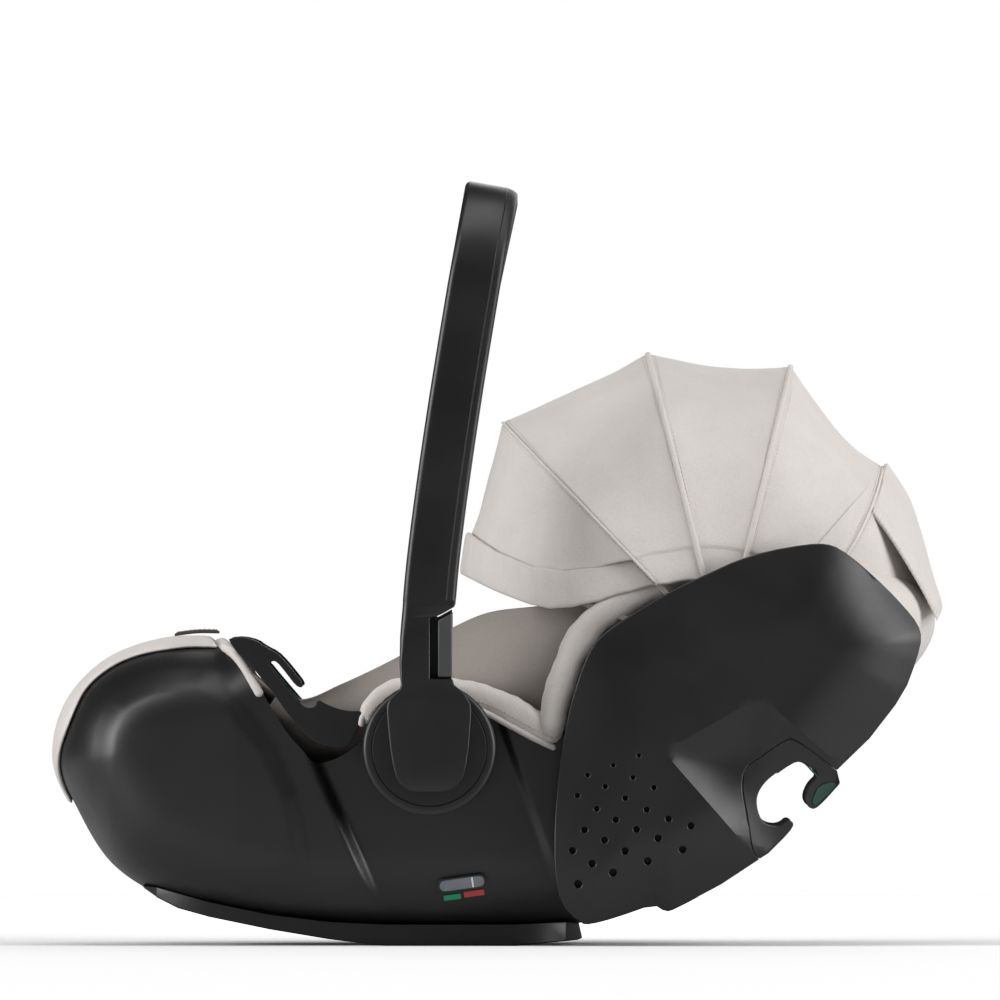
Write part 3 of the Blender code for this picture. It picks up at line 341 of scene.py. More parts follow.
def soften(outline, times=2):
    """A closed outline with its corners cut round."""
    pts = np.array(outline, float)
    for _ in range(times):
        after = np.roll(pts, -1, axis=0)
        pts = np.stack([0.75 * pts + 0.25 * after, 0.25 * pts + 0.75 * after], 1).reshape(-1, pts.shape[1])
    return pts


def soften_open(points, times=1):
    """A line of points with its inner corners cut round and its ends kept."""
    pts = np.array(points, float)
    for _ in range(times):
        before, after = pts[:-1], pts[1:]
        cuts = np.stack([0.75 * before + 0.25 * after, 0.25 * before + 0.75 * after], 1).reshape(-1, 2)
        pts = np.vstack([pts[:1], cuts[1:-1], pts[-1:]])
    return pts


def inside(points, outline):
    """Which 2-D points lie inside a closed outline."""
    x, z = points[:, 0:1], points[:, 1:2]
    ax, az = outline[:, 0], outline[:, 1]
    bx, bz = np.roll(ax, -1), np.roll(az, -1)
    crosses = (az > z) != (bz > z)
    rise = np.where(bz == az, 1.0, bz - az)
    return (crosses & (x < (bx - ax) * (z - az) / rise + ax)).sum(axis=1) % 2 == 1


def distance(x, z, line, closed=False):
    """Distance from each (x, z) to a polyline."""
    shape = np.shape(x)
    line = np.array(line, float)
    p = np.stack([np.ravel(x), np.ravel(z)], 1)[:, None, :]
    a = line if closed else line[:-1]
    b = np.roll(line, -1, axis=0) if closed else line[1:]
    way = b - a
    t = ((p - a) * way).sum(2) / np.maximum((way**2).sum(1), 1e-12)
    nearest = a + np.clip(t, 0, 1)[..., None] * way
    return np.sqrt(((p - nearest) ** 2).sum(2).min(1)).reshape(shape)


def add_piece(name, vertices, faces, look, body, smooth, stands_for=()):
    """A closed mesh with its faces pointing out, riding on a body."""
    mesh = bpy.data.meshes.new(name)
    mesh.from_pydata([tuple(map(float, v)) for v in vertices], [], faces)
    work = bmesh.new()
    work.from_mesh(mesh)
    bmesh.ops.recalc_face_normals(work, faces=work.faces[:])
    if work.calc_volume(signed=True) < 0:
        bmesh.ops.reverse_faces(work, faces=work.faces[:])
    work.to_mesh(mesh)
    work.free()
    mesh.shade_smooth()
    mesh.set_sharp_from_angle(angle=math.radians(smooth))
    obj = bpy.data.objects.new(name, mesh)
    bpy.context.scene.collection.objects.link(obj)
    material, slot = LOOKS[look]
    mesh.materials.append(material)
    if stands_for:
        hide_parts(*stands_for)
    if body:
        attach(obj, body)
    return obj


def grid_normals(grid):
    """Unit normals of a grid: along its rows crossed with along its columns."""
    normal = np.cross(np.gradient(grid, axis=0), np.gradient(grid, axis=1))
    return normal / np.maximum(np.linalg.norm(normal, axis=2, keepdims=True), 1e-9)


def wrinkles(grid, size, seed):
    """Smooth random unevenness of cloth, from a few crossing waves."""
    pick = np.random.default_rng(seed)
    total = np.zeros(grid.shape[:2])
    for _ in range(7):
        way = pick.normal(size=3)
        way *= pick.uniform(60, 190) / np.linalg.norm(way)
        total += np.sin(grid @ way + pick.uniform(0, 6.3)) / 7
    return size * total


def edge_profile(grid, radius):
    """0 at the grid's edges, rising round to 1 at a distance radius inside them."""
    rows = np.linalg.norm(np.diff(grid, axis=0), axis=2)
    cols = np.linalg.norm(np.diff(grid, axis=1), axis=2)
    run_r = np.concatenate([np.zeros((1, grid.shape[1])), np.cumsum(rows, axis=0)])
    run_c = np.concatenate([np.zeros((grid.shape[0], 1)), np.cumsum(cols, axis=1)], axis=1)
    near = np.minimum.reduce([run_r, run_r[-1:] - run_r, run_c, run_c[:, -1:] - run_c])
    inward = np.clip(near / radius, 0, 1)
    return np.sqrt(1 - (1 - inward) ** 2)


def slab(name, front, back, look, body, smooth, stands_for=()):
    """A closed plate between two grids of points of the same shape."""
    rows, cols = front.shape[:2]
    count = rows * cols
    index = np.arange(count).reshape(rows, cols)
    quads = np.stack([index[:-1, :-1], index[:-1, 1:], index[1:, 1:], index[1:, :-1]], -1).reshape(-1, 4)
    faces = quads.tolist() + (quads[:, ::-1] + count).tolist()
    rim = np.concatenate([index[0], index[1:, -1], index[-1, -2::-1], index[-2:0:-1, 0]]).tolist()
    faces += [[b, a, count + a, count + b] for a, b in zip(rim, rim[1:] + rim[:1])]
    return add_piece(name, np.vstack([front.reshape(-1, 3), back.reshape(-1, 3)]), faces, look, body, smooth,
                     stands_for)


def layer(name, grid, up, low, high, look, body, stands_for=()):
    """A soft plate between two heights over a grid, each a number or an array of the grid's shape."""
    front, back = (grid + np.asarray(height)[..., None] * up for height in (high, low))
    return slab(name, front, back, look, body, 60, stands_for)


def pad(name, grid, up, bottom, top, radius, look, body, relief=None, stands_for=()):
    """A crowned pad on a grid, between two heights over it, round at its edges."""
    swell = edge_profile(grid, radius)
    middle = (bottom + top) / 2
    half = (top - bottom) / 2 * np.maximum(swell, 0.06)
    rise = middle + half
    if relief is not None:
        rise = rise + relief
    return layer(name, grid, up, middle - half, rise, look, body, stands_for)


def tube_faces(size, count, base=0):
    """Faces of a solid through count rings of size points, from vertex base on, with flat ends."""
    faces = [[base + i for i in range(size)], [base + count * size - 1 - i for i in range(size)]]
    for r in range(base, base + (count - 1) * size, size):
        for i in range(size):
            j = (i + 1) % size
            faces.append([r + i, r + size + i, r + size + j, r + j])
    return faces


def tube(name, rings, look, body, smooth, stands_for=()):
    """A solid through rings of the same number of points."""
    faces = tube_faces(len(rings[0]), len(rings))
    return add_piece(name, np.vstack(rings), faces, look, body, smooth, stands_for)


def frames_along(line, side_hint):
    """Unit directions along a line, and two across it; the first across is nearest to side_hint."""
    way = np.gradient(line, axis=0)
    way /= np.linalg.norm(way, axis=1, keepdims=True)
    hint = np.broadcast_to(np.array(side_hint, float), line.shape)
    first = hint - (hint * way).sum(1, keepdims=True) * way
    first /= np.linalg.norm(first, axis=1, keepdims=True)
    return way, first, np.cross(way, first)


def roll(name, line, across, high, look, body, side_hint=(0, 1, 0), power=2.3, sides=20, **more):
    """A padded roll along a line: half sizes across (towards side_hint) and high, closed by round ends."""
    line = np.array(line, float)
    count = len(line)
    _, first, second = frames_along(line, side_hint)
    across = np.broadcast_to(across, (count,))
    high = np.broadcast_to(high, (count,))
    turn = full_turn(sides)
    c, s = power_of(np.cos(turn), power), power_of(np.sin(turn), power)
    run = running_length(line)
    reach = np.maximum(high, 1e-4)
    end = np.clip(np.minimum(run, run[-1] - run) / reach, 0, 1)
    close = np.maximum(np.sqrt(1 - (1 - end) ** 2), 0.08)
    rings = [line[k] + close[k] * (across[k] * c[:, None] * first[k] + high[k] * s[:, None] * second[k])
             for k in range(count)]
    return tube(name, rings, look, body, 60, **more)


def over(surface, height):
    """A surface given as a function of (x, z), moved out by a height."""
    return lambda x, z: surface(x, z) + height


def plate(name, outline, outer, inner, side, look, body, holes=(), creases=(), spacing=0.004, bevel=0.0006,
          stands_for=(), smooth=38):
    """A plate seen in its true outline from the side, between two depths given as functions of (x, z)."""
    loops = [np.array(outline, float)] + [np.array(h, float) for h in holes]
    lines = [np.array(c, float) for c in creases]
    points, edges, start = np.vstack(loops + lines), [], 0
    for loop in loops:
        edges += [(start + i, start + (i + 1) % len(loop)) for i in range(len(loop))]
        start += len(loop)
    for line in lines:
        edges += [(start + i, start + i + 1) for i in range(len(line) - 1)]
        start += len(line)
    low, high = loops[0].min(0), loops[0].max(0)
    gx, gz = np.meshgrid(np.arange(low[0], high[0], spacing), np.arange(low[1], high[1], spacing))
    gx[1::2] += spacing / 2
    seeds = np.stack([gx.ravel(), gz.ravel()], 1)
    keep = inside(seeds, loops[0])
    for loop in loops:
        keep &= distance(seeds[:, 0], seeds[:, 1], loop, True) > 0.45 * spacing
    for line in lines:
        keep &= distance(seeds[:, 0], seeds[:, 1], line) > 0.45 * spacing
    for loop in loops[1:]:
        keep &= ~inside(seeds, loop)
    points = np.vstack([points, seeds[keep]])
    found = delaunay_2d_cdt([Vector(p) for p in points], edges, [], 0, 1e-7)
    flat = np.array([tuple(v) for v in found[0]])
    triangles = np.array([list(f) for f in found[2]])
    middle = flat[triangles].mean(1)
    keep = inside(middle, loops[0])
    for loop in loops[1:]:
        keep &= ~inside(middle, loop)
    used, triangles = np.unique(triangles[keep], return_inverse=True)
    triangles = triangles.reshape(-1, 3)
    x, z = flat[used].T
    y_outer = outer(x, z) if callable(outer) else np.full(len(x), outer)
    y_inner = inner(x, z) if callable(inner) else np.full(len(x), inner)
    front, back = np.stack([x, side * y_outer, z], 1), np.stack([x, side * y_inner, z], 1)
    count = len(x)
    faces = triangles.tolist() + (triangles[:, ::-1] + count).tolist()
    seen = {(a, b) for t in triangles.tolist() for a, b in zip(t, t[1:] + t[:1])}
    faces += [[b, a, count + a, count + b] for a, b in sorted(seen) if (b, a) not in seen]
    made = add_piece(name, np.vstack([front, back]), faces, look, body, smooth, stands_for)
    if bevel:
        add_bevel(made, bevel)
    return made


def add_bevel(obj, width, angle=50):
    bevel = obj.modifiers.new("edges", "BEVEL")
    bevel.width = width
    bevel.segments = 3
    bevel.limit_method = "ANGLE"
    bevel.angle_limit = math.radians(angle)
    return obj


def turned(name, profile, x, z, side, look, body, segments, stands_for):
    """A solid of revolution about a line along Y; profile is a list of (radius, distance from middle)."""
    profile = np.array(profile)
    turn = full_turn(segments)[:, None]
    r, y = profile[:, 0], np.broadcast_to(profile[:, 1], (segments, len(profile)))
    vertices = np.stack([x + r * np.cos(turn), side * y, z + r * np.sin(turn)], -1).reshape(-1, 3)
    size = len(profile)
    faces = [[k * size + i, (k + 1) % segments * size + i, (k + 1) % segments * size + (i + 1) % size,
              k * size + (i + 1) % size] for k in range(segments) for i in range(size)]
    return add_piece(name, vertices, faces, look, body, 30, stands_for)


BOX_CORNERS = np.array([(a, b, c) for a in (-1, 1) for b in (-1, 1) for c in (-1, 1)])
BOX_FACES = [[0, 1, 3, 2], [4, 6, 7, 5], [0, 4, 5, 1], [2, 3, 7, 6], [0, 2, 6, 4], [1, 5, 7, 3]]


def cutter(centre, size):
    """A hidden box to cut with."""
    mesh = bpy.data.meshes.new("cutter")
    mesh.from_pydata((BOX_CORNERS * (np.array(size) / 2) + np.array(centre)).tolist(), [], BOX_FACES)
    return bpy.data.objects.new("cutter", mesh)


def round_cutter(x, z, y_low, y_high, radius):
    """A hidden round bar to cut with, along Y."""
    rim = circle(x, z, radius, 64).tolist()
    mesh = bpy.data.meshes.new("cutter")
    mesh.from_pydata([(a, y, b) for y in (y_low, y_high) for a, b in rim], [], tube_faces(64, 2))
    work = bmesh.new()
    work.from_mesh(mesh)
    bmesh.ops.recalc_face_normals(work, faces=work.faces[:])
    work.to_mesh(mesh)
    work.free()
    return bpy.data.objects.new("cutter", mesh)


def cut_away(obj, cutters, smooth):
    """Take the cutters out of a piece's mesh."""
    for tool in cutters:
        bpy.context.scene.collection.objects.link(tool)
        boolean = obj.modifiers.new("cut", "BOOLEAN")
        boolean.object = tool
        boolean.solver = "EXACT"
    shown = obj.evaluated_get(bpy.context.evaluated_depsgraph_get())
    mesh = bpy.data.meshes.new_from_object(shown)
    obj.modifiers.clear()
    obj.data = mesh
    mesh.shade_smooth()
    mesh.set_sharp_from_angle(angle=math.radians(smooth))
    for tool in cutters:
        bpy.data.objects.remove(tool, do_unlink=True)


def refined(node, look, body, bevel, angle=35):
    """A copy of a CAD node's shape with its edges rounded."""
    mesh = frame["nodes"][node].data.copy()
    work = bmesh.new()
    work.from_mesh(mesh)
    bmesh.ops.remove_doubles(work, verts=work.verts[:], dist=1e-6)
    bmesh.ops.dissolve_limit(work, angle_limit=math.radians(1.0), verts=work.verts[:], edges=work.edges[:])
    work.to_mesh(mesh)
    work.free()
    mesh.materials.clear()
    material, slot = LOOKS[look]
    mesh.materials.append(material)
    mesh.shade_smooth()
    mesh.set_sharp_from_angle(angle=math.radians(30))
    obj = bpy.data.objects.new(node + "_finished", mesh)
    bpy.context.scene.collection.objects.link(obj)
    add_bevel(obj, bevel, angle)
    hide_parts(node)
    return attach(obj, body)


# rings of one stitch: share of its length from its middle, and share of its thickness
STITCH_RINGS = ((-0.5, 0.35), (-0.38, 0.9), (0.0, 1.0), (0.38, 0.9), (0.5, 0.35))


def stitches(name, line, lift, look, body, step=0.0036, long=0.0024, thick=0.00035, side_hint=(0, 0, 1)):
    """A row of thread stitches along a line, each a small rod with tapered ends."""
    line = np.array(line, float)
    run = running_length(line)
    _, first, second = frames_along(line, side_hint)
    vertices, faces = [], []
    sides = 6
    turn = full_turn(sides)[:, None]
    for k in range(max(int(run[-1] / step), 2)):
        for share, size in STITCH_RINGS:
            here = (k + 0.5) * step + share * long
            point, a, b = (np.array([np.interp(here, run, values[:, i]) for i in range(3)])
                           for values in (line, first, second))
            sink = lift - 1.2 * thick * (1 - size)
            vertices.append(point + sink * a + size * thick * (np.cos(turn) * a + np.sin(turn) * b))
        faces += tube_faces(sides, len(STITCH_RINGS), k * len(STITCH_RINGS) * sides)
    return add_piece(name, np.vstack(vertices), faces, look, body, 60)


# ---------------------------------------------------------------- the bucket shell
SECTIONS = [   # middle outline of the shell and the side rim point that each section runs to
    ((-0.217, 0.2315), (-0.209, 0.2225)), ((-0.257, 0.2295), (-0.199, 0.216)),
    ((-0.298, 0.214), (-0.190, 0.207)), ((-0.327, 0.183), (-0.181, 0.194)),
    ((-0.3365, 0.143), (-0.172, 0.180)), ((-0.323, 0.107), (-0.162, 0.164)),
    ((-0.293, 0.060), (-0.150, 0.150)), ((-0.242, 0.031), (-0.137, 0.139)),
    ((-0.170, 0.0145), (-0.112, 0.149)), ((-0.100, 0.009), (-0.080, 0.178)),
    ((-0.030, 0.008), (-0.045, 0.186)), ((0.030, 0.011), (-0.005, 0.174)),
    ((0.085, 0.023), (0.040, 0.156)), ((0.125, 0.044), (0.072, 0.178)),
    ((0.158, 0.076), (0.100, 0.210)), ((0.182, 0.120), (0.130, 0.235)),
    ((0.208, 0.162), (0.160, 0.250)), ((0.252, 0.184), (0.190, 0.260)),
    ((0.300, 0.203), (0.215, 0.268)), ((0.3270, 0.238), (0.235, 0.276)),
    ((0.319, 0.272), (0.250, 0.283)), ((0.274, 0.302), (0.257, 0.291)),
]
KEEL_POINTS = [k for k, _ in SECTIONS]
RIM_POINTS = [r for _, r in SECTIONS]
OVER_THE_TOP = [(0.245, 0.345), (0.100, 0.360), (-0.050, 0.340), (-0.150, 0.280)]
OUTLINE = np.vstack([smooth_curve(KEEL_POINTS, 16), OVER_THE_TOP])
HALF_WIDTHS = [(-0.34, 0.148), (-0.28, 0.155), (-0.20, 0.163), (-0.10, 0.168), (0.05, 0.172), (0.10, 0.177),
               (0.20, 0.178), (0.34, 0.168)]
EDGE_ROUNDING = 0.065
EDGE_POWER = 2.8
WAIST_DEPTH = 0.009
SHELL_WALL = 0.0035
FOOT_PILLOW = [(-0.3079, 0.1400), (-0.3060, 0.1640), (-0.2950, 0.1900), (-0.2640, 0.2055), (-0.2239, 0.2105),
               (-0.1990, 0.1930), (-0.1690, 0.1560), (-0.1500, 0.1150), (-0.1400, 0.0600), (-0.2400, 0.0200),
               (-0.3100, 0.0600)]
PILLOW_RISE = 0.0032
LATCH_BARS = [(-0.200, 0.0350), (0.030, 0.0260)]


def waist(x, z):
    """Depth of the recess between the foot bulge and the rear panel."""
    front = smooth_step((x - (-0.0935 - 0.444 * (z - 0.030)) + 0.002) / 0.011)
    back = smooth_step((x - (0.001 + 0.35 * (0.163 - z))) / 0.007)
    behind = smooth_step((x - 0.050) / 0.040)
    return WAIST_DEPTH * front * (1 - 0.4 * back) * (1 - behind)


def shell_side(x, z):
    """Distance of the shell's outer surface from the middle plane."""
    inward = np.clip(distance(x, z, OUTLINE, True) / EDGE_ROUNDING, 0, 1)
    full = np.interp(x, *zip(*HALF_WIDTHS)) * (1 - 0.07 * np.clip((0.2 - z) / 0.2, 0, 1) ** 1.5)
    round_edge = (1 - (1 - inward) ** EDGE_POWER) ** (1 / EDGE_POWER)
    return full * round_edge - waist(x, z) * smooth_step(inward * 1.4)


def foot_relief(x, z):
    """How far the pillow of the foot end's side stands out."""
    pillow = np.array(FOOT_PILLOW)
    within = inside(np.stack([np.ravel(x), np.ravel(z)], 1), pillow).reshape(np.shape(x))
    return PILLOW_RISE * np.where(within, smooth_step(distance(x, z, pillow, True) / 0.016), 0.0)


def shell_grid(s, v, relief=False):
    """Points of the shell; s from foot to head, v from -1 (left rim) to 1, both of one shape."""
    to_rim = (np.abs(v) ** 2.0)[..., None]
    flat = curve_at(KEEL_POINTS, s) * (1 - to_rim) + curve_at(RIM_POINTS, s) * to_rim
    y = shell_side(flat[..., 0], flat[..., 1])
    if relief:
        y = y + foot_relief(flat[..., 0], flat[..., 1]) * smooth_step(y / 0.08)
    return np.stack([flat[..., 0], np.sign(v) * y * (v != 0), flat[..., 1]], -1)


def make_shell():
    along = np.concatenate([even(60, 0, 0.22)[:-1], even(240, 0.22, 0.56)[:-1], even(110, 0.56, 1)])
    s, v = np.meshgrid(along, edged(199, -1, 1, (0.002, 0.006)), indexing="ij")
    plain = shell_grid(s, v)
    inward = grid_normals(plain)
    outer = shell_grid(s, v, True)
    # the rims are a little rounded
    wall = SHELL_WALL * (0.55 + 0.45 * edge_profile(plain, 0.003))
    shell = slab("shell", outer, plain + wall[..., None] * inward, "black", "carrier", 30, ("outer_shell",))
    tools = [round_cutter(HUB[0], HUB[1], side * 0.12, side * 0.20, 0.0312) for side, _ in SIDES]
    tools += [cutter((x, 0, z - 0.016), (0.030, 0.130, 0.036)) for x, z in LATCH_BARS]
    cut_away(shell, tools, 30)


# side-view line that the foot cover is tucked in along, and its place on each section
FOOT_TUCK = [(-0.1762, 0.1988), (-0.1858, 0.2091), (-0.1988, 0.2197), (-0.2094, 0.2243), (-0.2230, 0.2258),
             (-0.2392, 0.2251), (-0.2690, 0.2197), (-0.2926, 0.2140), (-0.3041, 0.2060), (-0.3205, 0.1755),
             (-0.3334, 0.1351), (-0.3260, 0.1091), (-0.3150, 0.0900)]
FOOT_COVER_END = 0.236           # share of the shell's sections that the foot cover runs to
TUCK_BLUR = 31                   # how many sections the tucked line is averaged over


def tuck_share(s, line):
    """How far from the keel to the rim each section crosses a side-view line."""
    keel, rim = curve_at(KEEL_POINTS, s), curve_at(RIM_POINTS, s)
    line = smooth_curve(line, 8)
    out = []
    for k, r in zip(keel, rim):
        steps = np.linspace(0, 1, 160)[:, None]
        path = k * (1 - steps) + r * steps
        out.append(steps[np.argmin(distance(path[:, 0], path[:, 1], line)), 0])
    return np.array(out)


def wrap(name, s_values, reach, low, high, columns, stands_for, radius=0.007):
    """Padded cloth stretched over the shell's nose, out to a share reach of v on each section."""
    w = edged(columns, -1, 1, (0.003, 0.010, 0.020))
    s = np.repeat(s_values[:, None], len(w), axis=1)
    v = reach[:, None] * w[None, :]
    grid = shell_grid(s, v)
    outward = -grid_normals(grid)
    return pad(name, grid, outward, low, high, radius, "beige", "carrier", None, stands_for)


def make_foot_cover():
    s = edged(90, 0.002, FOOT_COVER_END, (0.01, 0.03))
    reach = np.sqrt(np.clip(tuck_share(s, FOOT_TUCK), 0.0004, 1))
    reach = np.pad(reach, TUCK_BLUR // 2, mode="edge")
    reach = np.convolve(reach, np.ones(TUCK_BLUR) / TUCK_BLUR, mode="valid")
    wrap("foot_cover", s, reach, 0.0002, 0.0040, 91, ("foot_rim_cover",))
    v = even(120, -0.97, 0.97)
    front = shell_grid(np.zeros(120), v) + np.array([0.0050, 0.0, -0.0042])
    made = roll("foot_cover_hem", front, 0.0066, 0.0060, "beige", "carrier", (1, 0, 0.6), 2.2, 20)
    for side, tag in SIDES:
        rim = shell_grid(even(60, 0.001, 0.172), np.full(60, side * 0.985)) + np.array([0.0, 0.0, 0.0048])
        made = roll(f"foot_piping_{tag}", rim, 0.0040, 0.0034, "beige", "carrier", (0, side, 0), 2.2, 16)


def make_head_cover():
    s = edged(70, 0.855, 0.998, (0.01, 0.03))
    reach = np.full(len(s), 0.80) * (1 - 0.10 * np.clip((0.90 - s) / 0.05, 0, 1))
    wrap("head_cover", s, reach, 0.0002, 0.0046, 91, ("head_rim_cover",))


# ---------------------------------------------------------------- base, rear panels, guides
HOOK_SEAM = [(0.2568, 0.1335), (0.2400, 0.1462), (0.2255, 0.1562), (0.2182, 0.1565), (0.2003, 0.1450),
             (0.1877, 0.1350), (0.1850, 0.1206), (0.1881, 0.1015), (0.1927, 0.0740), (0.1980, 0.0660)]
HOOK_OPENING = [(0.2594, 0.1236), (0.2418, 0.1038), (0.2354, 0.1048), (0.2318, 0.1118), (0.2361, 0.1225),
                (0.2438, 0.1294), (0.2343, 0.1381), (0.2270, 0.1412), (0.2110, 0.1320), (0.2011, 0.1236),
                (0.1957, 0.1137), (0.1965, 0.1030), (0.2003, 0.0946), (0.2075, 0.0913), (0.2148, 0.0919),
                (0.2201, 0.0969), (0.2262, 0.0916), (0.2041, 0.0702)]
HOOK_LINER = [(0.2432, 0.1288), (0.2343, 0.1381), (0.2270, 0.1412), (0.2190, 0.1375), (0.2110, 0.1320)]
LIP_PAD = [(0.2430, 0.1221), (0.2545, 0.1250), (0.2572, 0.1218), (0.2407, 0.1062), (0.2378, 0.1098)]
HOOK_MIDDLE = (0.222, 0.118)
# outline of the near-black sheet of painted shade behind the vent holes
VENT_SHADE_SHEET = [(0.0500, 0.0380), (0.0900, 0.0330), (0.1540, 0.0640), (0.1560, 0.1000), (0.1150, 0.1560),
                (0.0560, 0.1400)]
PANEL_REAR_BOTTOM = [(0.1980, 0.0660), (0.1690, 0.0469), (0.1339, 0.0282), (0.1270, 0.0262), (0.1179, 0.0320),
                     (0.0877, 0.0214), (0.0698, 0.0168), (0.0629, 0.0172), (0.0469, 0.0320)]
PANEL_FRONT_TOP = [(0.0423, 0.0580), (0.0423, 0.0938), (0.0454, 0.1320), (0.0500, 0.1618), (0.0550, 0.1854),
                   (0.0637, 0.2129), (0.0721, 0.2297), (0.0828, 0.2403), (0.1061, 0.2556), (0.1339, 0.2716),
                   (0.1591, 0.2831), (0.1804, 0.2930), (0.2056, 0.3006), (0.2330, 0.3052), (0.2480, 0.3059),
                   (0.2590, 0.3022), (0.2758, 0.2892), (0.2949, 0.2716), (0.3079, 0.2579), (0.3185, 0.2449),
                   (0.3216, 0.2342), (0.3178, 0.2182), (0.3079, 0.1915), (0.2819, 0.1579), (0.2590, 0.1360)]
PANEL_SOLID = np.array(PANEL_REAR_BOTTOM + PANEL_FRONT_TOP[:-1] + [(0.262, 0.130), (0.232, 0.092)])
PANEL_HALF_WIDTH = 0.1875
PANEL_WALL = 0.004
DIAMOND = [(0.1251, 0.1480), (0.1960, 0.1880), (0.2010, 0.1880), (0.2700, 0.1280), (0.2200, 0.0700),
           (0.1911, 0.0725)]
DIAMOND_DEPTH = 0.013
VENT_ROWS = [   # first hole, last hole, number of holes, first and last radius
    ((0.0604, 0.0473), (0.1396, 0.0735), 4, 0.0030, 0.0027),
    ((0.0710, 0.0629), (0.1461, 0.0916), 4, 0.0028, 0.0026),
    ((0.0561, 0.0727), (0.1290, 0.0969), 4, 0.0026, 0.0024),
    ((0.0652, 0.0885), (0.1125, 0.1038), 3, 0.0024, 0.0022),
    ((0.0744, 0.1045), (0.1179, 0.1206), 3, 0.0021, 0.0019),
    ((0.0599, 0.1145), (0.1019, 0.1282), 3, 0.0019, 0.0017),
    ((0.0675, 0.1301), (0.1064, 0.1450), 3, 0.0016, 0.0015),
]


def dish(x, z):
    """Depth share of the recess by the belt hook: four slopes that meet in soft valleys."""
    middle = np.mean(DIAMOND, axis=0)
    total = 0.0
    soft = 260.0
    for (ax, az), (bx, bz) in zip(DIAMOND, DIAMOND[1:] + DIAMOND[:1]):
        size = math.hypot(bx - ax, bz - az)
        side = ((bx - ax) * (z - az) - (bz - az) * (x - ax)) / size
        towards = np.sign((bx - ax) * (middle[1] - az) - (bz - az) * (middle[0] - ax))
        total = total + np.exp(-soft * np.clip(side * towards, -0.05, 0.2))
    near = -np.log(total) / soft
    return 1 - (1 - np.clip(near / 0.036, 0, 1)) ** 1.7


def panel_side(x, z):
    """Distance of the rear panel's outer face from the middle plane."""
    inward = np.clip(distance(x, z, PANEL_SOLID, True) / 0.060, 0, 1)
    to_rear = smooth_step((0.77 * x - 0.64 * z + 0.01) / 0.08)
    fall = 0.007 + 0.019 * to_rear
    return PANEL_HALF_WIDTH - fall * (1 - inward) ** 2 - DIAMOND_DEPTH * dish(x, z)


def vent_holes():
    holes = []
    for first, last, count, big, small in VENT_ROWS:
        for t in np.linspace(0, 1, count):
            x, z = np.array(first) * (1 - t) + np.array(last) * t
            holes.append(circle(x, z, big + t * (small - big), 14))
    return holes


def make_rear_panels():
    seam = smooth_curve(HOOK_SEAM, 4)
    panel = np.vstack([seam, soften_open(PANEL_REAR_BOTTOM[1:] + PANEL_FRONT_TOP[:-1])])
    gap = np.array([0.0003, -0.0003])
    hook = np.vstack([soften_open(HOOK_OPENING[:-1] + [(0.2048, 0.0704)], 2), [(0.1983, 0.0663)],
                      (seam[1:-1] + gap)[::-1], [(0.2571, 0.1331)]])
    edge = [np.array(DIAMOND[0]), np.array(DIAMOND[1]), np.array(DIAMOND[2]), np.array([0.2540, 0.1422])]
    creases = [along_line([DIAMOND[5], DIAMOND[0]], even(26, 0.06, 1)),
               along_line(edge, even(40, 0.02, 0.98))]
    liner = smooth_curve(HOOK_LINER, 5)
    way = np.gradient(liner, axis=0)
    into = np.stack([way[:, 1], -way[:, 0]], 1) / np.linalg.norm(way, axis=1, keepdims=True)
    into *= -np.sign((into * (np.array(HOOK_MIDDLE) - liner)).sum(1, keepdims=True))
    band = np.vstack([liner - 0.0002 * into, (liner - 0.0012 * into)[::-1]])
    for side, tag in SIDES:
        made = plate(f"side_panel_{tag}", panel, panel_side, over(panel_side, -PANEL_WALL), side, "black",
                     "carrier", vent_holes(), creases, bevel=0.0009, smooth=20,
                     stands_for=(f"rear_side_panel_{tag}",))
        made.modifiers["edges"].angle_limit = math.radians(60)
        plate(f"hook_trim_{tag}", hook, over(panel_side, -0.0006), 0.140, side, "hub", "carrier",
              spacing=0.0036, bevel=0.0016, smooth=50, stands_for=(f"belt_hook_{tag}",))
        plate(f"hook_lip_pad_{tag}", soften(LIP_PAD, 1), over(panel_side, 0.0004), over(panel_side, -0.004),
              side, "liner", "carrier", bevel=0.0004)
        # a near-black sheet just inside the panel wall paints the vent holes' depth as shade
        plate(f"vent_shade_sheet_{tag}", VENT_SHADE_SHEET, over(panel_side, 0.0006 - PANEL_WALL),
              over(panel_side, -0.0004 - PANEL_WALL), side, "painted_vent_shade", "carrier", bevel=0)
        plate(f"hook_liner_{tag}", band, 0.1690, 0.1460, side, "liner", "carrier", bevel=0.0003)


GUIDE_OUTLINE = [(-0.2045, 0.2338), (-0.1942, 0.2346), (-0.1835, 0.2320), (-0.1774, 0.2274),
                 (-0.1682, 0.2228), (-0.1614, 0.2159), (-0.1545, 0.2075), (-0.1479, 0.1988),
                 (-0.1496, 0.1961), (-0.1538, 0.1976), (-0.1614, 0.2075), (-0.1682, 0.2159),
                 (-0.1717, 0.2167), (-0.1753, 0.2136), (-0.1496, 0.1831), (-0.1438, 0.1808),
                 (-0.1393, 0.1818), (-0.1373, 0.1877), (-0.1309, 0.1839), (-0.1217, 0.1801),
                 (-0.1125, 0.1785), (-0.1029, 0.1785), (-0.1042, 0.1713), (-0.1087, 0.1610),
                 (-0.1125, 0.1541), (-0.1171, 0.1514), (-0.1263, 0.1511), (-0.1377, 0.1541),
                 (-0.1473, 0.1602), (-0.1606, 0.1770), (-0.1728, 0.1946), (-0.1774, 0.1991),
                 (-0.1820, 0.2060), (-0.1919, 0.2167), (-0.1988, 0.2230), (-0.2048, 0.2320)]
GUIDE_LINER = [(-0.1745, 0.2124), (-0.1690, 0.2056), (-0.1590, 0.1938), (-0.1510, 0.1846)]


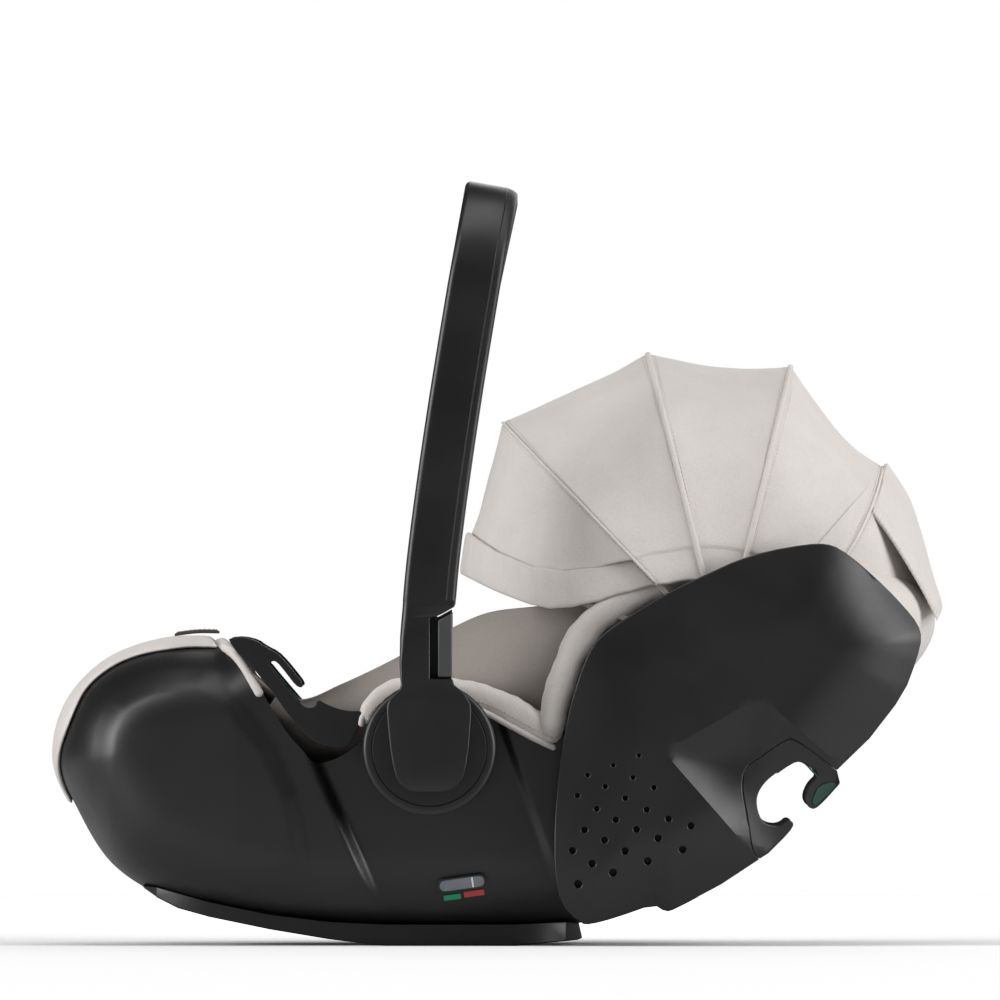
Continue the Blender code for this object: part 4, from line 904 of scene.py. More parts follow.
def make_guides():
    line = np.array(GUIDE_LINER)
    up = np.array([0.0010, 0.0008])
    band = np.vstack([line + 0.2 * up, (line + 1.2 * up)[::-1]])
    for side, tag in SIDES:
        plate(f"belt_guide_{tag}", soften(GUIDE_OUTLINE, 1), 0.1665, 0.1480, side, "black_fine", "carrier",
              bevel=0.0014, stands_for=(f"lap_belt_guide_{tag}",))
        plate(f"guide_liner_{tag}", band, 0.1630, 0.1500, side, "liner", "carrier", bevel=0.0003)


def make_base():
    refined("base_runner", "black", "carrier", 0.0012, angle=30)
    for name in ("latch_bar_front", "latch_bar_rear"):
        low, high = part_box(name)
        middle, radius = (low + high) / 2, (high.z - low.z) / 2
        line = [(middle.x, y, middle.z) for y in even(24, low.y, high.y)]
        roll(name + "_finished", line, radius, radius, "steel", "carrier", (1, 0, 0), 2.0, 40,
             stands_for=(name,))


# ---------------------------------------------------------------- hubs and handle
def fillet(corner, before, after, radius, steps=5):
    """Points that round a corner of a profile."""
    corner, before, after = (np.array(p, float) for p in (corner, before, after))
    a = corner + (before - corner) / np.linalg.norm(before - corner) * radius
    b = corner + (after - corner) / np.linalg.norm(after - corner) * radius
    return [tuple((1 - t) ** 2 * a + 2 * t * (1 - t) * corner + t * t * b) for t in np.linspace(0, 1, steps)]


HUB_BORE, HUB_RADIUS = 0.0066, 0.0506
HUB_INNER, HUB_BACK, HUB_FACE = 0.1550, 0.1700, 0.1965     # distances from the middle plane


def make_hubs():
    x, z = HUB
    rim = [(HUB_BORE, HUB_INNER), (0.0300, HUB_INNER), (0.0300, HUB_BACK), (HUB_RADIUS, HUB_BACK)]
    edge = fillet((HUB_RADIUS, HUB_FACE), (HUB_RADIUS, HUB_BACK), (HUB_BORE, HUB_FACE), 0.0042, 7)
    ring = [(0.0440, HUB_FACE), (0.0436, HUB_FACE - 0.0006), (0.0430, HUB_FACE)]
    profile = rim + edge + ring + [(HUB_BORE, HUB_FACE)]
    for side, tag in SIDES:
        disc = turned(f"hub_{tag}", profile, x, z, side, "hub", "carrier", 128, (f"hub_disc_{tag}",))
        cut_away(disc, [cutter((x, side * 0.1830, z - 0.0420), (0.026, 0.010, 0.030))], 30)
        radius = [0.0240 if k % 6 < 4 else 0.0215 for k in range(72)]
        teeth = [(x + r * math.cos(a), z + r * math.sin(a)) for a, r in zip(full_turn(72), radius)]
        bore = circle(x, z, HUB_BORE, 24)
        plate(f"detent_ring_{tag}", teeth, 0.2080, 0.1968, side, "steel", "carrier", [bore], bevel=0.0003)
        refined(f"pivot_bolt_{tag}", "steel", "carrier", 0.0004)


# z and x of the foot side of the arms
ARM_EDGE = [(0.2240, -0.0755), (0.3000, -0.0690), (0.4150, -0.0530), (0.5810, -0.0255)]
ARM_WIDTH = 0.0400
ARM_DEPTH = 0.0180
HANDLE_CORNER = 0.078
TRIM_WIDTH = 0.0070
CHAMFER = (0.0180, 0.0085)       # across and down, on the head side of the grip
# z, left x and right x of the arm's end over the hub; the notch for the button is in its right edge
ARM_END = [(0.1176, -0.0600, -0.0450), (0.1182, -0.0650, -0.0400), (0.1195, -0.0698, -0.0357),
           (0.1235, -0.0748, -0.0305), (0.1290, -0.0781, -0.0264), (0.1390, -0.0804, -0.0243),
           (0.1503, -0.0823, -0.0225), (0.1650, -0.0838, -0.0214), (0.1780, -0.0848, -0.0207),
           (0.1835, -0.0846, -0.0210), (0.1880, -0.0825, -0.0232), (0.1915, -0.0789, -0.0256),
           (0.1950, -0.0752, -0.0290), (0.1985, -0.0741, -0.0335), (0.2010, -0.0742, -0.0344),
           (0.2028, -0.0745, -0.0345), (0.2031, -0.0745, -0.0520), (0.2150, -0.0751, -0.0520),
           (0.2350, -0.0747, -0.0520), (0.2488, -0.0736, -0.0520), (0.2500, -0.0735, -0.0512),
           (0.2510, -0.0734, -0.0460), (0.2530, -0.0732, -0.0418), (0.2555, -0.0730, -0.0374),
           (0.2578, -0.0728, -0.0336), (0.2590, -0.0727, -0.0330), (0.2620, -0.0725, -0.0328)]
BUTTON = [(-0.0460, 0.2045), (-0.0352, 0.2045), (-0.0352, 0.2534), (-0.0460, 0.2476)]
NOTCH_BACK = [(-0.0560, 0.2020), (-0.0356, 0.2020), (-0.0356, 0.2550), (-0.0466, 0.2490), (-0.0500, 0.2520),
              (-0.0560, 0.2520)]


def arm_edge(z):
    dense = smooth_curve(ARM_EDGE, 16)
    return np.interp(z, dense[:, 0], dense[:, 1])


def section(x0, x1, round_left, round_right, round_in):
    """Ring of (across, in) points of the handle's section, with round corners."""
    reach = 0.49 * (x1 - x0)
    depth = ARM_DEPTH
    corners = [((x0, depth), (1, 0), (0, -1), round_in), ((x0, 0.0), (0, 1), (1, 0), round_left),
               ((x1, 0.0), (-1, 0), (0, 1), round_right), ((x1, depth), (0, -1), (-1, 0), round_in)]
    ring = []
    for (cx, cd), first, second, radius in corners:
        radius = min(radius, reach, 0.49 * depth)
        for t in np.linspace(0, math.pi / 2, 6):
            a, b = 1 - math.sin(t), 1 - math.cos(t)
            ring.append((cx + radius * (a * first[0] + b * second[0]),
                         cd + radius * (a * first[1] + b * second[1])))
    return np.array(ring)


def upper_path():
    """(y, z, inward y, inward z) along the outside of the handle above the arm ends, left to middle."""
    half, top, corner = HANDLE_HALF_WIDTH, HANDLE_HEIGHT, HANDLE_CORNER
    path = [(-half, z, 1.0, 0.0) for z in np.linspace(0.2624, top - corner, 40)]
    for turn in np.linspace(0, math.pi / 2, 33)[1:]:
        path.append((-half + corner * (1 - math.cos(turn)), top - corner + corner * math.sin(turn),
                     math.cos(turn), -math.sin(turn)))
    return path + [(y, top, 0.0, -1.0) for y in np.linspace(-half + corner, 0, 12)[1:]]


def placed(ring, station):
    y, z, ny, nz = station
    return np.stack([ring[:, 0], y + ring[:, 1] * ny, z + ring[:, 1] * nz], 1)


def mirrored_rings(rings):
    """The left half's rings, then the right half's, as one run."""
    flip = np.array([1, -1, 1])
    return rings + [ring * flip for ring in rings[-2::-1]]


def make_handle():
    lower = []
    for z, left, right in ARM_END:
        crisp = 0.0016 + 0.0032 * smooth_step((z - 0.200) / 0.05)
        lower.append(placed(section(left, right, crisp, 0.0012, 0.0020), (-HANDLE_HALF_WIDTH, z, 1.0, 0.0)))
    upper, trim = [], []
    for station in upper_path():
        left = arm_edge(station[1])
        split = left + ARM_WIDTH - TRIM_WIDTH
        for rings, ring in ((upper, section(left, split, 0.0048, 0.0006, 0.0030)),
                            (trim, section(split, left + ARM_WIDTH, 0.0006, 0.0046, 0.0020))):
            near_edge = np.clip((ring[:, 0] - (left + ARM_WIDTH - CHAMFER[0])) / CHAMFER[0], 0, 1)
            ring[:, 1] += CHAMFER[1] * near_edge * (1 - ring[:, 1] / ARM_DEPTH) * smooth_step(-station[3])
            rings.append(placed(ring, station))
    handle = tube("handle", mirrored_rings(lower + upper), "black_fine", "handle", 40,
                  ("handle_shell", "handle_arm_end_L", "handle_arm_end_R"))
    tools = []
    for side, _ in SIDES:
        low, high = sorted((side * 0.190, side * 0.2105))
        tools.append(round_cutter(HUB[0], HUB[1], low, high, 0.0270))
        tools.append(cutter((HUB[0] - 0.0100, side * 0.2015, 0.2130), (0.0120, 0.0180, 0.0860)))
    cut_away(handle, tools, 40)
    tube("handle_inner_trim", mirrored_rings(trim), "trim", "handle", 40, ("handle_trim",))
    for side, tag in SIDES:
        plate(f"lock_button_{tag}", BUTTON, 0.2187, 0.2010, side, "button", f"handle_button_{tag}",
              bevel=0.0012, stands_for=(f"handle_button_{tag}",))
        plate(f"notch_back_{tag}", NOTCH_BACK, 0.2000, 0.1975, side, "black_fine", "handle")
        refined(f"lock_pin_{tag}", "steel", f"lock_pin_{tag}", 0.0006)
        coated = frame["nodes"][f"lock_spring_{tag}"].data.materials
        coated.clear()
        coated.append(LOOKS["steel"][0])


# ---------------------------------------------------------------- canopy
BOWS = [(-70.6, 0.2080, 0.1605), (-43.7, 0.2385, 0.1680), (-14.0, 0.2305, 0.1655), (13.5, 0.2200, 0.1630),
        (41.0, 0.1830, 0.1580)]         # angle from vertical, height over the pivot, half width
CANOPY_BODIES = ["canopy_brim", "canopy_1", "canopy_2", "canopy_3", "carrier"]
ARCH_START = 0.050
ARCH_POWER = 2.5
BACK_LEAN = 22.0                 # degrees
CLOTH_LIFT = 0.0026
CLOTH = 0.0013
SAG = [0.0035, 0.0020, 0.0055, 0.0075]         # how far the cloth sinks between the bows, in the middle
SIDE_SAG = 0.0050
SEAM_LINE = [(-67.5, 0.1720), (-66.7, 0.1603), (-63.6, 0.1355), (-56.2, 0.1138), (-44.7, 0.0977),
             (-29.1, 0.0864), (-16.8, 0.0821), (-2.8, 0.0787), (7.9, 0.0774), (20.0, 0.0772),
             (60.0, 0.0720)]
CANOPY_HEM = [(-43.7, 0.0712), (-38.2, 0.0660), (-15.2, 0.0560), (14.0, 0.0540), (41.0, 0.0540)]
# angle and distance from the pivot, from beside bow 1 to the middle of the brim
VALANCE_EDGE = [(-43.7, 0.0712), (-55.9, 0.0830), (-67.6, 0.1023), (-73.2, 0.1200), (-75.7, 0.1358),
                (-76.0, 0.1518), (-74.9, 0.1805), (-73.4, 0.2083)]
VALANCE_SEAM = [(-43.7, 0.1000), (-56.0, 0.1155), (-62.8, 0.1362), (-65.7, 0.1600), (-66.0, 0.1888),
                (-64.8, 0.2150)]
BRIM_SEAM_ANGLE = -66.9
BRIM_HALF_WIDTH = 0.1612
CLOTH_STEP = 0.0012             # how far the cloth below the seam lies under that above it
WELTS = [0.0, 0.0009, 0.0017, 0.0018, 0.0010]   # half widths of the welts over the bows


def canopy_shape(angle):
    """Height over the pivot and half width of the cloth at an angle, as it is stretched between bows."""
    angle = np.asarray(angle, float)
    k = np.clip(np.searchsorted([b[0] for b in BOWS], angle, side="right") - 1, 0, len(BOWS) - 2)
    table = np.array(BOWS)
    a0, h0, w0 = np.moveaxis(table[k], -1, 0)
    a1, h1, w1 = np.moveaxis(table[k + 1], -1, 0)
    ra, rb = np.radians(angle - a0), np.radians(a1 - angle)
    chord = h0 * h1 * np.sin(ra + rb) / (h0 * np.sin(ra) + h1 * np.sin(rb))
    t = (angle - a0) / (a1 - a0)
    hollow = np.clip(4 * t * (1 - t), 0, 1)
    return chord - np.array(SAG)[k] * hollow, w0 + (w1 - w0) * t, hollow


def canopy_point(angle, turn, lift):
    """Point of the cloth; turn from 0 (left pivot) over the top to pi (right)."""
    height, half, hollow = canopy_shape(angle)
    sag = SIDE_SAG * hollow * np.clip(3 * np.sin(turn), 0, 1)
    # the last bow's sides lean back from its top, and take the cloth with them
    back = np.clip((angle - BOWS[3][0]) / (BOWS[4][0] - BOWS[3][0]), 0, 1)
    lean = BACK_LEAN * back * np.clip(1 - np.clip(np.sin(turn), 0, 1) ** (2 / ARCH_POWER), 0, 1)
    return arch_point(angle + lean, turn, height + lift, half + lift - sag)


def round_pivot(out, y, angle):
    """Points a distance out from the canopy's pivot line, at an angle in radians from vertical."""
    return np.stack([CANOPY_PIVOT[0] + out * np.sin(angle), y, CANOPY_PIVOT[1] + out * np.cos(angle)], -1)


def arch_point(angle, turn, height, half):
    """Point of an arch over the canopy's pivot line that leans at an angle from vertical."""
    s, c = np.clip(np.sin(turn), 0, 1), np.cos(turn)
    out = ARCH_START + (height - ARCH_START) * s ** (2 / ARCH_POWER)
    return round_pivot(out, -half * power_of(c, ARCH_POWER), np.radians(angle))


def turn_at(angle, radius):
    """The turn at which the cloth is a distance radius from the pivot line."""
    height, _, _ = canopy_shape(angle)
    share = np.clip((radius - ARCH_START) / (height - ARCH_START), 0.0, 1.0)
    return np.arcsin(np.clip(share ** (ARCH_POWER / 2), 0, 1))


def sheet_flat(obj, held, **more):
    """Work out a cloth piece's area from its faces; the area is not used, and the piece is returned as it is.
    """
    work = bmesh.new()
    work.from_mesh(obj.data)
    area = sum(f.calc_area() for f in work.faces) / 2
    work.free()
    return obj


def canopy_grid(angles, hem, seam):
    """Grid of cloth over the bows, from hem to hem, and which of its points are over the seam."""
    angles = np.asarray(angles)
    start, sewn = (turn_at(angles, np.interp(angles, *zip(*sorted(line))))[:, None] for line in (hem, seam))
    band = edged(7, 0, 1, (0.05,))[None, :-1]
    over = edged(112, 0, 1, (0.002, 0.005, 0.010))[None, :]
    turn = np.hstack([start + (sewn - start) * band, sewn + (math.pi - 2 * sewn) * over,
                      math.pi - start - (sewn - start) * band[:, ::-1]])
    angle = np.repeat(angles[:, None], turn.shape[1], axis=1)
    over_seam = np.zeros(turn.shape[1])
    over_seam[band.size:-band.size] = 1 - (1 - np.clip(np.minimum(over[0], 1 - over[0]) / 0.004, 0, 1)) ** 2
    return canopy_point(angle, turn, CLOTH_LIFT), over_seam[None, :]


def fold_with_bows(obj):
    """Bake a cloth piece's placement into its mesh; it is not made to fold with the bows."""
    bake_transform(obj)


def away_from_pivot(grid):
    """Unit normals of a grid of canopy cloth, on the side away from the pivot line."""
    up = grid_normals(grid)
    out = grid - np.array([CANOPY_PIVOT[0], 0, CANOPY_PIVOT[1]])
    return up * np.sign((up * out).sum(2).mean())


def make_canopy():
    for k in range(4):
        first, last = BOWS[k][0] + 0.12, BOWS[k + 1][0] - 0.12
        if k == 0:
            first = BRIM_SEAM_ANGLE
        hem = CANOPY_HEM if k else SEAM_LINE
        grid, over_seam = canopy_grid(edged(34, first, last, (0.01, 0.03)), hem, SEAM_LINE)
        up = away_from_pivot(grid)
        # the cloth is a little uneven between the bows, and steps in below the seam
        rise = wrinkles(grid, 0.0012, k) * edge_profile(grid, 0.035) - CLOTH_STEP * (1 - over_seam)
        thick = CLOTH * (0.25 + 0.75 * edge_profile(grid, 0.0014))
        panel = layer(f"canopy_panel_{k + 1}", grid, up, rise, rise + thick, "beige", None,
                      (f"canopy_cloth_{k + 1}",))
        sheet_flat(panel, "stretched")
        fold_with_bows(panel)
    for k, (angle, _, _) in enumerate(BOWS):
        body = CANOPY_BODIES[k]
        refined(f"canopy_bow_{k}" if k else "canopy_brim_bow", "taupe", body, 0.0004)
        if k == 0:
            continue
        begin = turn_at(np.array([angle]), np.interp([angle], *zip(*CANOPY_HEM)))[0]
        turn = np.linspace(begin, math.pi - begin, 150)
        line = canopy_point(np.full(150, angle), turn, CLOTH_LIFT + 0.0012)
        out = line - np.array([CANOPY_PIVOT[0], 0, CANOPY_PIVOT[1]])
        welt = roll(f"canopy_welt_{k}", line, WELTS[k], WELTS[k] * 1.2, "beige", body, out, 2.0, 12)
        for step, label in ((-1.0, "a"), (1.0, "b")):
            seam = np.full(150, angle + step * (0.5 + 400 * WELTS[k]))
            beside = canopy_point(seam, turn, CLOTH_LIFT + CLOTH)
            stitches(f"canopy_thread_{k}{label}", beside, 0.0001, "thread", body, 0.0034, 0.0022, 0.00028,
                     out)
    make_valance()
    for _, tag in SIDES:
        refined(f"canopy_pivot_{tag}", "steel", "carrier", 0.0003)
    make_back()
    make_flap()


def make_valance():
    """The band below the brim's seam, from one side round the front to the other."""
    share = edged(170, 0, 1, (0.001, 0.003, 0.006))
    edges = []
    for line in (VALANCE_EDGE, VALANCE_SEAM):
        angles, radii = np.array(line).T
        height = radii[-1]
        begin = math.asin(((radii[0] - ARCH_START) / (height - ARCH_START)) ** (ARCH_POWER / 2))
        turn = begin + (math.pi - 2 * begin) * share
        out = ARCH_START + (height - ARCH_START) * np.sin(turn) ** (2 / ARCH_POWER)
        y = -(BRIM_HALF_WIDTH + CLOTH_LIFT) * power_of(np.cos(turn), ARCH_POWER)
        edges.append(round_pivot(out, y, np.radians(np.interp(out, radii, angles))))
    across = edged(12, 0, 1, (0.02, 0.06))[None, :, None]
    grid = edges[0][:, None] * (1 - across) + edges[1][:, None] * across
    up = away_from_pivot(grid)
    ripple = 0.0004 * np.sin(np.arange(len(share)) * 0.9)[:, None]
    puff = 0.0012 * edge_profile(grid, 0.009) + ripple * across[..., 0]
    thick = CLOTH * (0.25 + 0.75 * edge_profile(grid, 0.0016))
    rise = puff - CLOTH_STEP - 0.0004
    band = layer("canopy_valance", grid, up, rise, rise + thick, "beige", None)
    sheet_flat(band, "stretched")
    fold_with_bows(band)


BACK = [(41.2, 0.1846, 0.1590), (50.0, 0.1800, 0.1590), (60.0, 0.1715, 0.1585), (70.0, 0.1665, 0.1570),
        (80.0, 0.1660, 0.1550)]         # angle, height and half width of the cloth behind the last bow


def make_back():
    """The fixed cloth under the rear flap, from the last bow down to the head end's rim."""
    table = np.array(BACK)
    angle = edged(40, table[0, 0], table[-1, 0], (0.01, 0.03))
    height, half = (np.interp(angle, table[:, 0], table[:, k])[:, None] for k in (1, 2))
    turn = edged(110, 0.12, math.pi - 0.12, (0.002, 0.006))[None, :]
    grid = arch_point(angle[:, None] + 0 * turn, turn + 0 * height, height + 0 * turn, half + 0 * turn)
    up = away_from_pivot(grid)
    rise = wrinkles(grid, 0.0012, 21) * edge_profile(grid, 0.02)
    back = layer("canopy_back", grid, up, rise, rise + CLOTH, "beige", "carrier")
    sheet_flat(back, "stretched")


FLAP_MIDDLE = [(0.2945, 0.3660), (0.3110, 0.3400), (0.3210, 0.3110), (0.3290, 0.2820), (0.3374, 0.2560)]
FLAP_EDGE = [(0.2831, 0.3289), (0.2950, 0.3130), (0.3080, 0.2930), (0.3210, 0.2710), (0.3331, 0.2472)]


def make_flap():
    rows, columns = 300, 80
    t, w = even(rows, 0, 1), edged(columns, -1, 1, (0.002, 0.006, 0.012))
    middle, edge = curve_at(FLAP_MIDDLE, t), curve_at(FLAP_EDGE, t)
    half = 0.115 + 0.017 * t
    bent = (np.abs(w) ** 2.2)[None, :, None]
    flat = middle[:, None] * (1 - bent) + edge[:, None] * bent
    grid = np.stack([flat[..., 0], half[:, None] * w[None, :], flat[..., 1]], -1)
    up = grid_normals(grid)
    up *= np.sign(up[..., 0].mean())
    # elastic in the side hems gathers the cloth, and a welt runs round the hem
    to_side = (1 - np.abs(w))[None, :] * half[:, None]
    gather = 0.00022 * groove(to_side, 0, 0.010) * np.sin(150 * t + 1.3 * np.sin(17 * t))[:, None]
    hem = 0.0011 * groove(to_side, 0.0075, 0.0016) + 0.0011 * groove((1 - t)[:, None] * 0.12, 0, 0.004)
    rise = 0.0012 + gather + 0.0012 * edge_profile(grid, 0.0022) - hem * 0.7
    flap = layer("rear_flap", grid, up, 0.7 * gather, rise, "beige", "carrier", ("canopy_rear_flap",))
    sheet_flat(flap, "stretched")
    for side, tag in SIDES:
        line = grid[3:-3, 0] * (1 - 0.03) + grid[3:-3, columns // 2] * 0.03
        if side > 0:
            line = line * np.array([1, -1, 1])
        stitches(f"flap_thread_{tag}", line + np.array([0.0018, 0.0, 0.0012]), 0.0006, "thread", "carrier",
                 side_hint=(0.8, side * 0.4, 0.5))


# ---------------------------------------------------------------- padding
SEAT_SECTIONS = [   # middle line of the seat surface, its side rim, and its half width
    ((-0.203, 0.2195), (-0.198, 0.213), 0.100), ((-0.180, 0.192), (-0.176, 0.198), 0.116),
    ((-0.145, 0.155), (-0.150, 0.1865), 0.125), ((-0.105, 0.122), (-0.120, 0.198), 0.129),
    ((-0.065, 0.088), (-0.085, 0.2145), 0.131), ((-0.030, 0.066), (-0.045, 0.236), 0.133),
    ((0.000, 0.060), (-0.010, 0.252), 0.134), ((0.035, 0.068), (0.025, 0.257), 0.135),
    ((0.075, 0.093), (0.060, 0.260), 0.135), ((0.120, 0.130), (0.100, 0.266), 0.135),
    ((0.170, 0.172), (0.145, 0.276), 0.134), ((0.215, 0.210), (0.185, 0.284), 0.129),
    ((0.245, 0.240), (0.215, 0.290), 0.119), ((0.260, 0.268), (0.238, 0.294), 0.108),
    ((0.264, 0.290), (0.250, 0.296), 0.100),
]
SEAT_POWER = 2.4
COVER_WALL = 0.005
SEAT_ROWS, SEAT_COLUMNS = 22, 15        # of the CAD grid, which the pads' edges are counted on


def seat_grid(s_values, v_values):
    """Grid over the seat surface; s from foot to head, v from -1 (left rim) to 1."""
    s, v = np.meshgrid(s_values, v_values, indexing="ij")
    keel = curve_at([k for k, _, _ in SEAT_SECTIONS], s)
    rim = curve_at([r for _, r, _ in SEAT_SECTIONS], s)
    half = curve_at([(w, 0) for _, _, w in SEAT_SECTIONS], s)[..., 0]
    turn = np.abs(v) * math.pi / 2
    depth = np.cos(turn) ** (2 / SEAT_POWER)
    y = np.sign(v) * half * power_of(np.sin(turn), SEAT_POWER)
    flat = rim + (keel - rim) * depth[..., None]
    return np.stack([flat[..., 0], y, flat[..., 1]], -1)


def seat_patch(rows, margin, count_s, count_v):
    """Fine grid and its normals over CAD rows first to last, margin CAD columns in from the side rims."""
    edge = 1 - 2 * margin / (SEAT_COLUMNS - 1)
    s = edged(count_s, rows[0] / (SEAT_ROWS - 1), rows[1] / (SEAT_ROWS - 1), (0.008, 0.022))
    grid = seat_grid(s, edged(count_v, -edge, edge, (0.004, 0.012)))
    return grid, grid_normals(grid)


def make_padding():
    cover, up = seat_patch((0, 21), 0, 150, 120)
    rim = edge_profile(cover, 0.014)
    relief = -0.0016 * (1 - rim) * edge_profile(cover, 0.004) + wrinkles(cover, 0.0014, 3) * rim
    pad("seat_cover_cloth", cover, up, -COVER_WALL, 0.0, 0.0035, "taupe", "carrier", relief, ("seat_cover",))
    liner, up = seat_patch((3.2, 19), 1, 60, 60)
    layer("foam_bucket", liner, up, -(COVER_WALL + 0.011), -(COVER_WALL + 0.0012), "foam", "carrier",
          ("foam_liner",))
    for side, tag in SIDES:
        s, v = edged(80, 0.10, 0.97, (0.01, 0.03)), side * edged(40, 0.42, 1.0, (0.01, 0.03))
        grid = seat_grid(s, v)
        up = side * grid_normals(grid)
        tuck = COVER_WALL + 0.0132 * smooth_step((1 - np.abs(v)) / 0.14)[None, :]
        skirt = layer(f"cover_skirt_{tag}", grid, up, -(tuck + 0.0012), -tuck, "taupe", "carrier")
        sheet_flat(skirt, "stretched")
    insert, up = seat_patch((4, 12), 1, 130, 120)
    t = np.linspace(0, 1, len(insert))[:, None]
    v = np.linspace(-1, 1, insert.shape[1])[None, :]
    seams = groove(t, 0.34, 0.018) + groove(t, 0.66, 0.018) + groove(np.abs(v), 0.52, 0.016)
    relief = -0.0050 * np.clip(seams, 0, 1) + wrinkles(insert, 0.0016, 8)
    pad("newborn_cushion", insert, up, 0.0012, 0.0150, 0.012, "grey", "carrier", relief,
        ("newborn_insert",))


# side views: centre line of each roll with its half height
HUB_CAP = [(-0.1010, 0.1690, 0.0058), (-0.0970, 0.1800, 0.0075), (-0.0880, 0.1890, 0.0088),
           (-0.0740, 0.1940, 0.0098), (-0.0560, 0.1955, 0.0102), (-0.0370, 0.1938, 0.0102),
           (-0.0200, 0.1905, 0.0103), (-0.0050, 0.1860, 0.0105), (0.0100, 0.1785, 0.0112),
           (0.0260, 0.1695, 0.0108), (0.0400, 0.1618, 0.0098), (0.0480, 0.1570, 0.0085)]
HUB_PIPING = [(-0.1046, 0.1665), (-0.1030, 0.1740), (-0.0980, 0.1775), (-0.0860, 0.1830), (-0.0700, 0.1850),
              (-0.0440, 0.1840), (-0.0240, 0.1815), (-0.0111, 0.1780), (0.0092, 0.1672), (0.0294, 0.1566),
              (0.0440, 0.1500)]
REAR_RIM = [(0.0400, 0.1580, 0.0090), (0.0408, 0.1671, 0.0099), (0.0439, 0.1862, 0.0112),
            (0.0515, 0.2091, 0.0112), (0.0600, 0.2295, 0.0114), (0.0720, 0.2455, 0.0110),
            (0.0895, 0.2580, 0.0110), (0.1120, 0.2695, 0.0102), (0.1290, 0.2780, 0.0098),
            (0.1500, 0.2850, 0.0085), (0.1680, 0.2900, 0.0070)]


def side_roll(name, line, y_low, y_high, deep, side, stands_for=()):
    """A padded roll beside the seat, along (x, z, half height); its distance out goes with z."""
    dense = along_line(smooth_curve(line, 10), edged(110, 0, 1, (0.003, 0.008, 0.014)))
    y = y_low + (y_high - y_low) * smooth_step((dense[:, 1] - 0.205) / 0.045)
    points = np.stack([dense[:, 0], side * y, dense[:, 1]], 1)
    steps = np.arange(len(dense))
    uneven = 1 + 0.035 * np.sin(steps * 0.31) + 0.02 * np.sin(steps * 0.83)
    made = roll(name, points, deep, dense[:, 2] * uneven, "beige", "carrier", (0, 1, 0), 2.5, 28,
                stands_for=stands_for)
    return made


def make_rims():
    for side, tag in SIDES:
        side_roll(f"side_rim_{tag}", HUB_CAP, 0.1600, 0.1600, 0.0088, side, (f"side_rim_cover_{tag}",))
        side_roll(f"rear_rim_{tag}", REAR_RIM, 0.1640, 0.1520, 0.0085, side)
        line = smooth_curve(HUB_PIPING, 8)
        piping = np.stack([line[:, 0], np.full(len(line), side * 0.1660), line[:, 1]], 1)
        roll(f"side_piping_{tag}", piping, 0.0024, 0.0024, "beige", "carrier", (0, 1, 0), 2.0, 14)
        seam = along_line(smooth_curve([(x, z - 0.35 * h) for x, z, h in HUB_CAP], 8), even(150, 0.02, 0.98))
        seam = np.stack([seam[:, 0], np.full(150, side * 0.1686), seam[:, 1]], 1)
        stitches(f"side_rim_thread_{tag}", seam, 0.0002, "thread", "carrier", side_hint=(0, side, 0))


LABEL_HALF_WIDTH = 0.020
LABEL_INSET = 0.0022             # of the stitches from the label's edge


def make_tag():
    line = smooth_curve([(-0.2470, 0.2335), (-0.2300, 0.2355), (-0.2130, 0.2355)], 8)
    across = edged(20, -LABEL_HALF_WIDTH, LABEL_HALF_WIDTH, (0.01, 0.04))
    low = np.array([[(x, y, z) for y in across] for x, z in line])
    top = 0.0032 + 0.0012 * edge_profile(low, 0.0012)
    layer("leather_label", low, np.array([0.0, 0.0, 1.0]), 0.0015, top, "leather", "carrier",
          ("leather_tag",))
    x0, x1, y1 = line[0][0] + LABEL_INSET, line[-1][0] - LABEL_INSET, LABEL_HALF_WIDTH - LABEL_INSET
    corners = [(x0, -y1), (x1, -y1), (x1, y1), (x0, y1), (x0, -y1)]
    around = along_line(corners, even(90, 0, 1))
    height = np.interp(around[:, 0], line[:, 0], line[:, 1])
    thread = np.stack([around[:, 0], around[:, 1], height + 0.0044], 1)
    stitches("leather_label_thread", thread, 0.0001, "thread", "carrier")


# ---------------------------------------------------------------- headrest and harness
def over_seat(s, v, height):
    """Point at a height over the seat surface, and the direction away from it."""
    step = 0.004
    patch = seat_grid(np.array([s - step, s, s + step]), np.array([v - step, v, v + step]))
    up = np.cross(patch[2, 1] - patch[0, 1], patch[1, 2] - patch[1, 0])
    up /= np.linalg.norm(up)
    return patch[1, 1] + height * up, up


def seat_frame(s, v, height):
    """Point over the seat surface and its axes: across, along and up."""
    point, up = over_seat(s, v, height)
    along = over_seat(s + 0.01, v, height)[0] - point
    across = np.cross(up, along)
    across /= np.linalg.norm(across)
    return point, [across, np.cross(up, across), up]


def ribbon(name, s_values, v_values, bottom, top, wide, look, stands_for, crown=False):
    """A strap or long pad that follows the seat surface along (s, v), between two heights over it."""
    found = [over_seat(s, v, bottom) for s, v in zip(s_values, v_values)]
    points = np.array([point for point, _ in found])
    ups = np.array([up for _, up in found])
    across = np.cross(ups, np.gradient(points, axis=0))
    across /= np.linalg.norm(across, axis=1, keepdims=True)
    w = edged(12, -wide / 2, wide / 2, (0.02, 0.05))
    low = points[:, None] + w[None, :, None] * across[:, None]
    up = np.repeat(ups[:, None], len(w), axis=1)
    thick = top - bottom
    if crown:
        fold = groove(even(len(points), 0, 1)[:, None], 0.5, 0.02)
        relief = -0.25 * thick * fold + wrinkles(low, 0.0006, 5)
        return pad(name, low, up, 0.0, thick, thick * 0.9, look, "carrier", relief, stands_for)
    rounding = 0.35 + 0.65 * edge_profile(low, 0.0010)
    return layer(name, low, up, thick * (1 - rounding), thick * rounding, look, "carrier", stands_for)


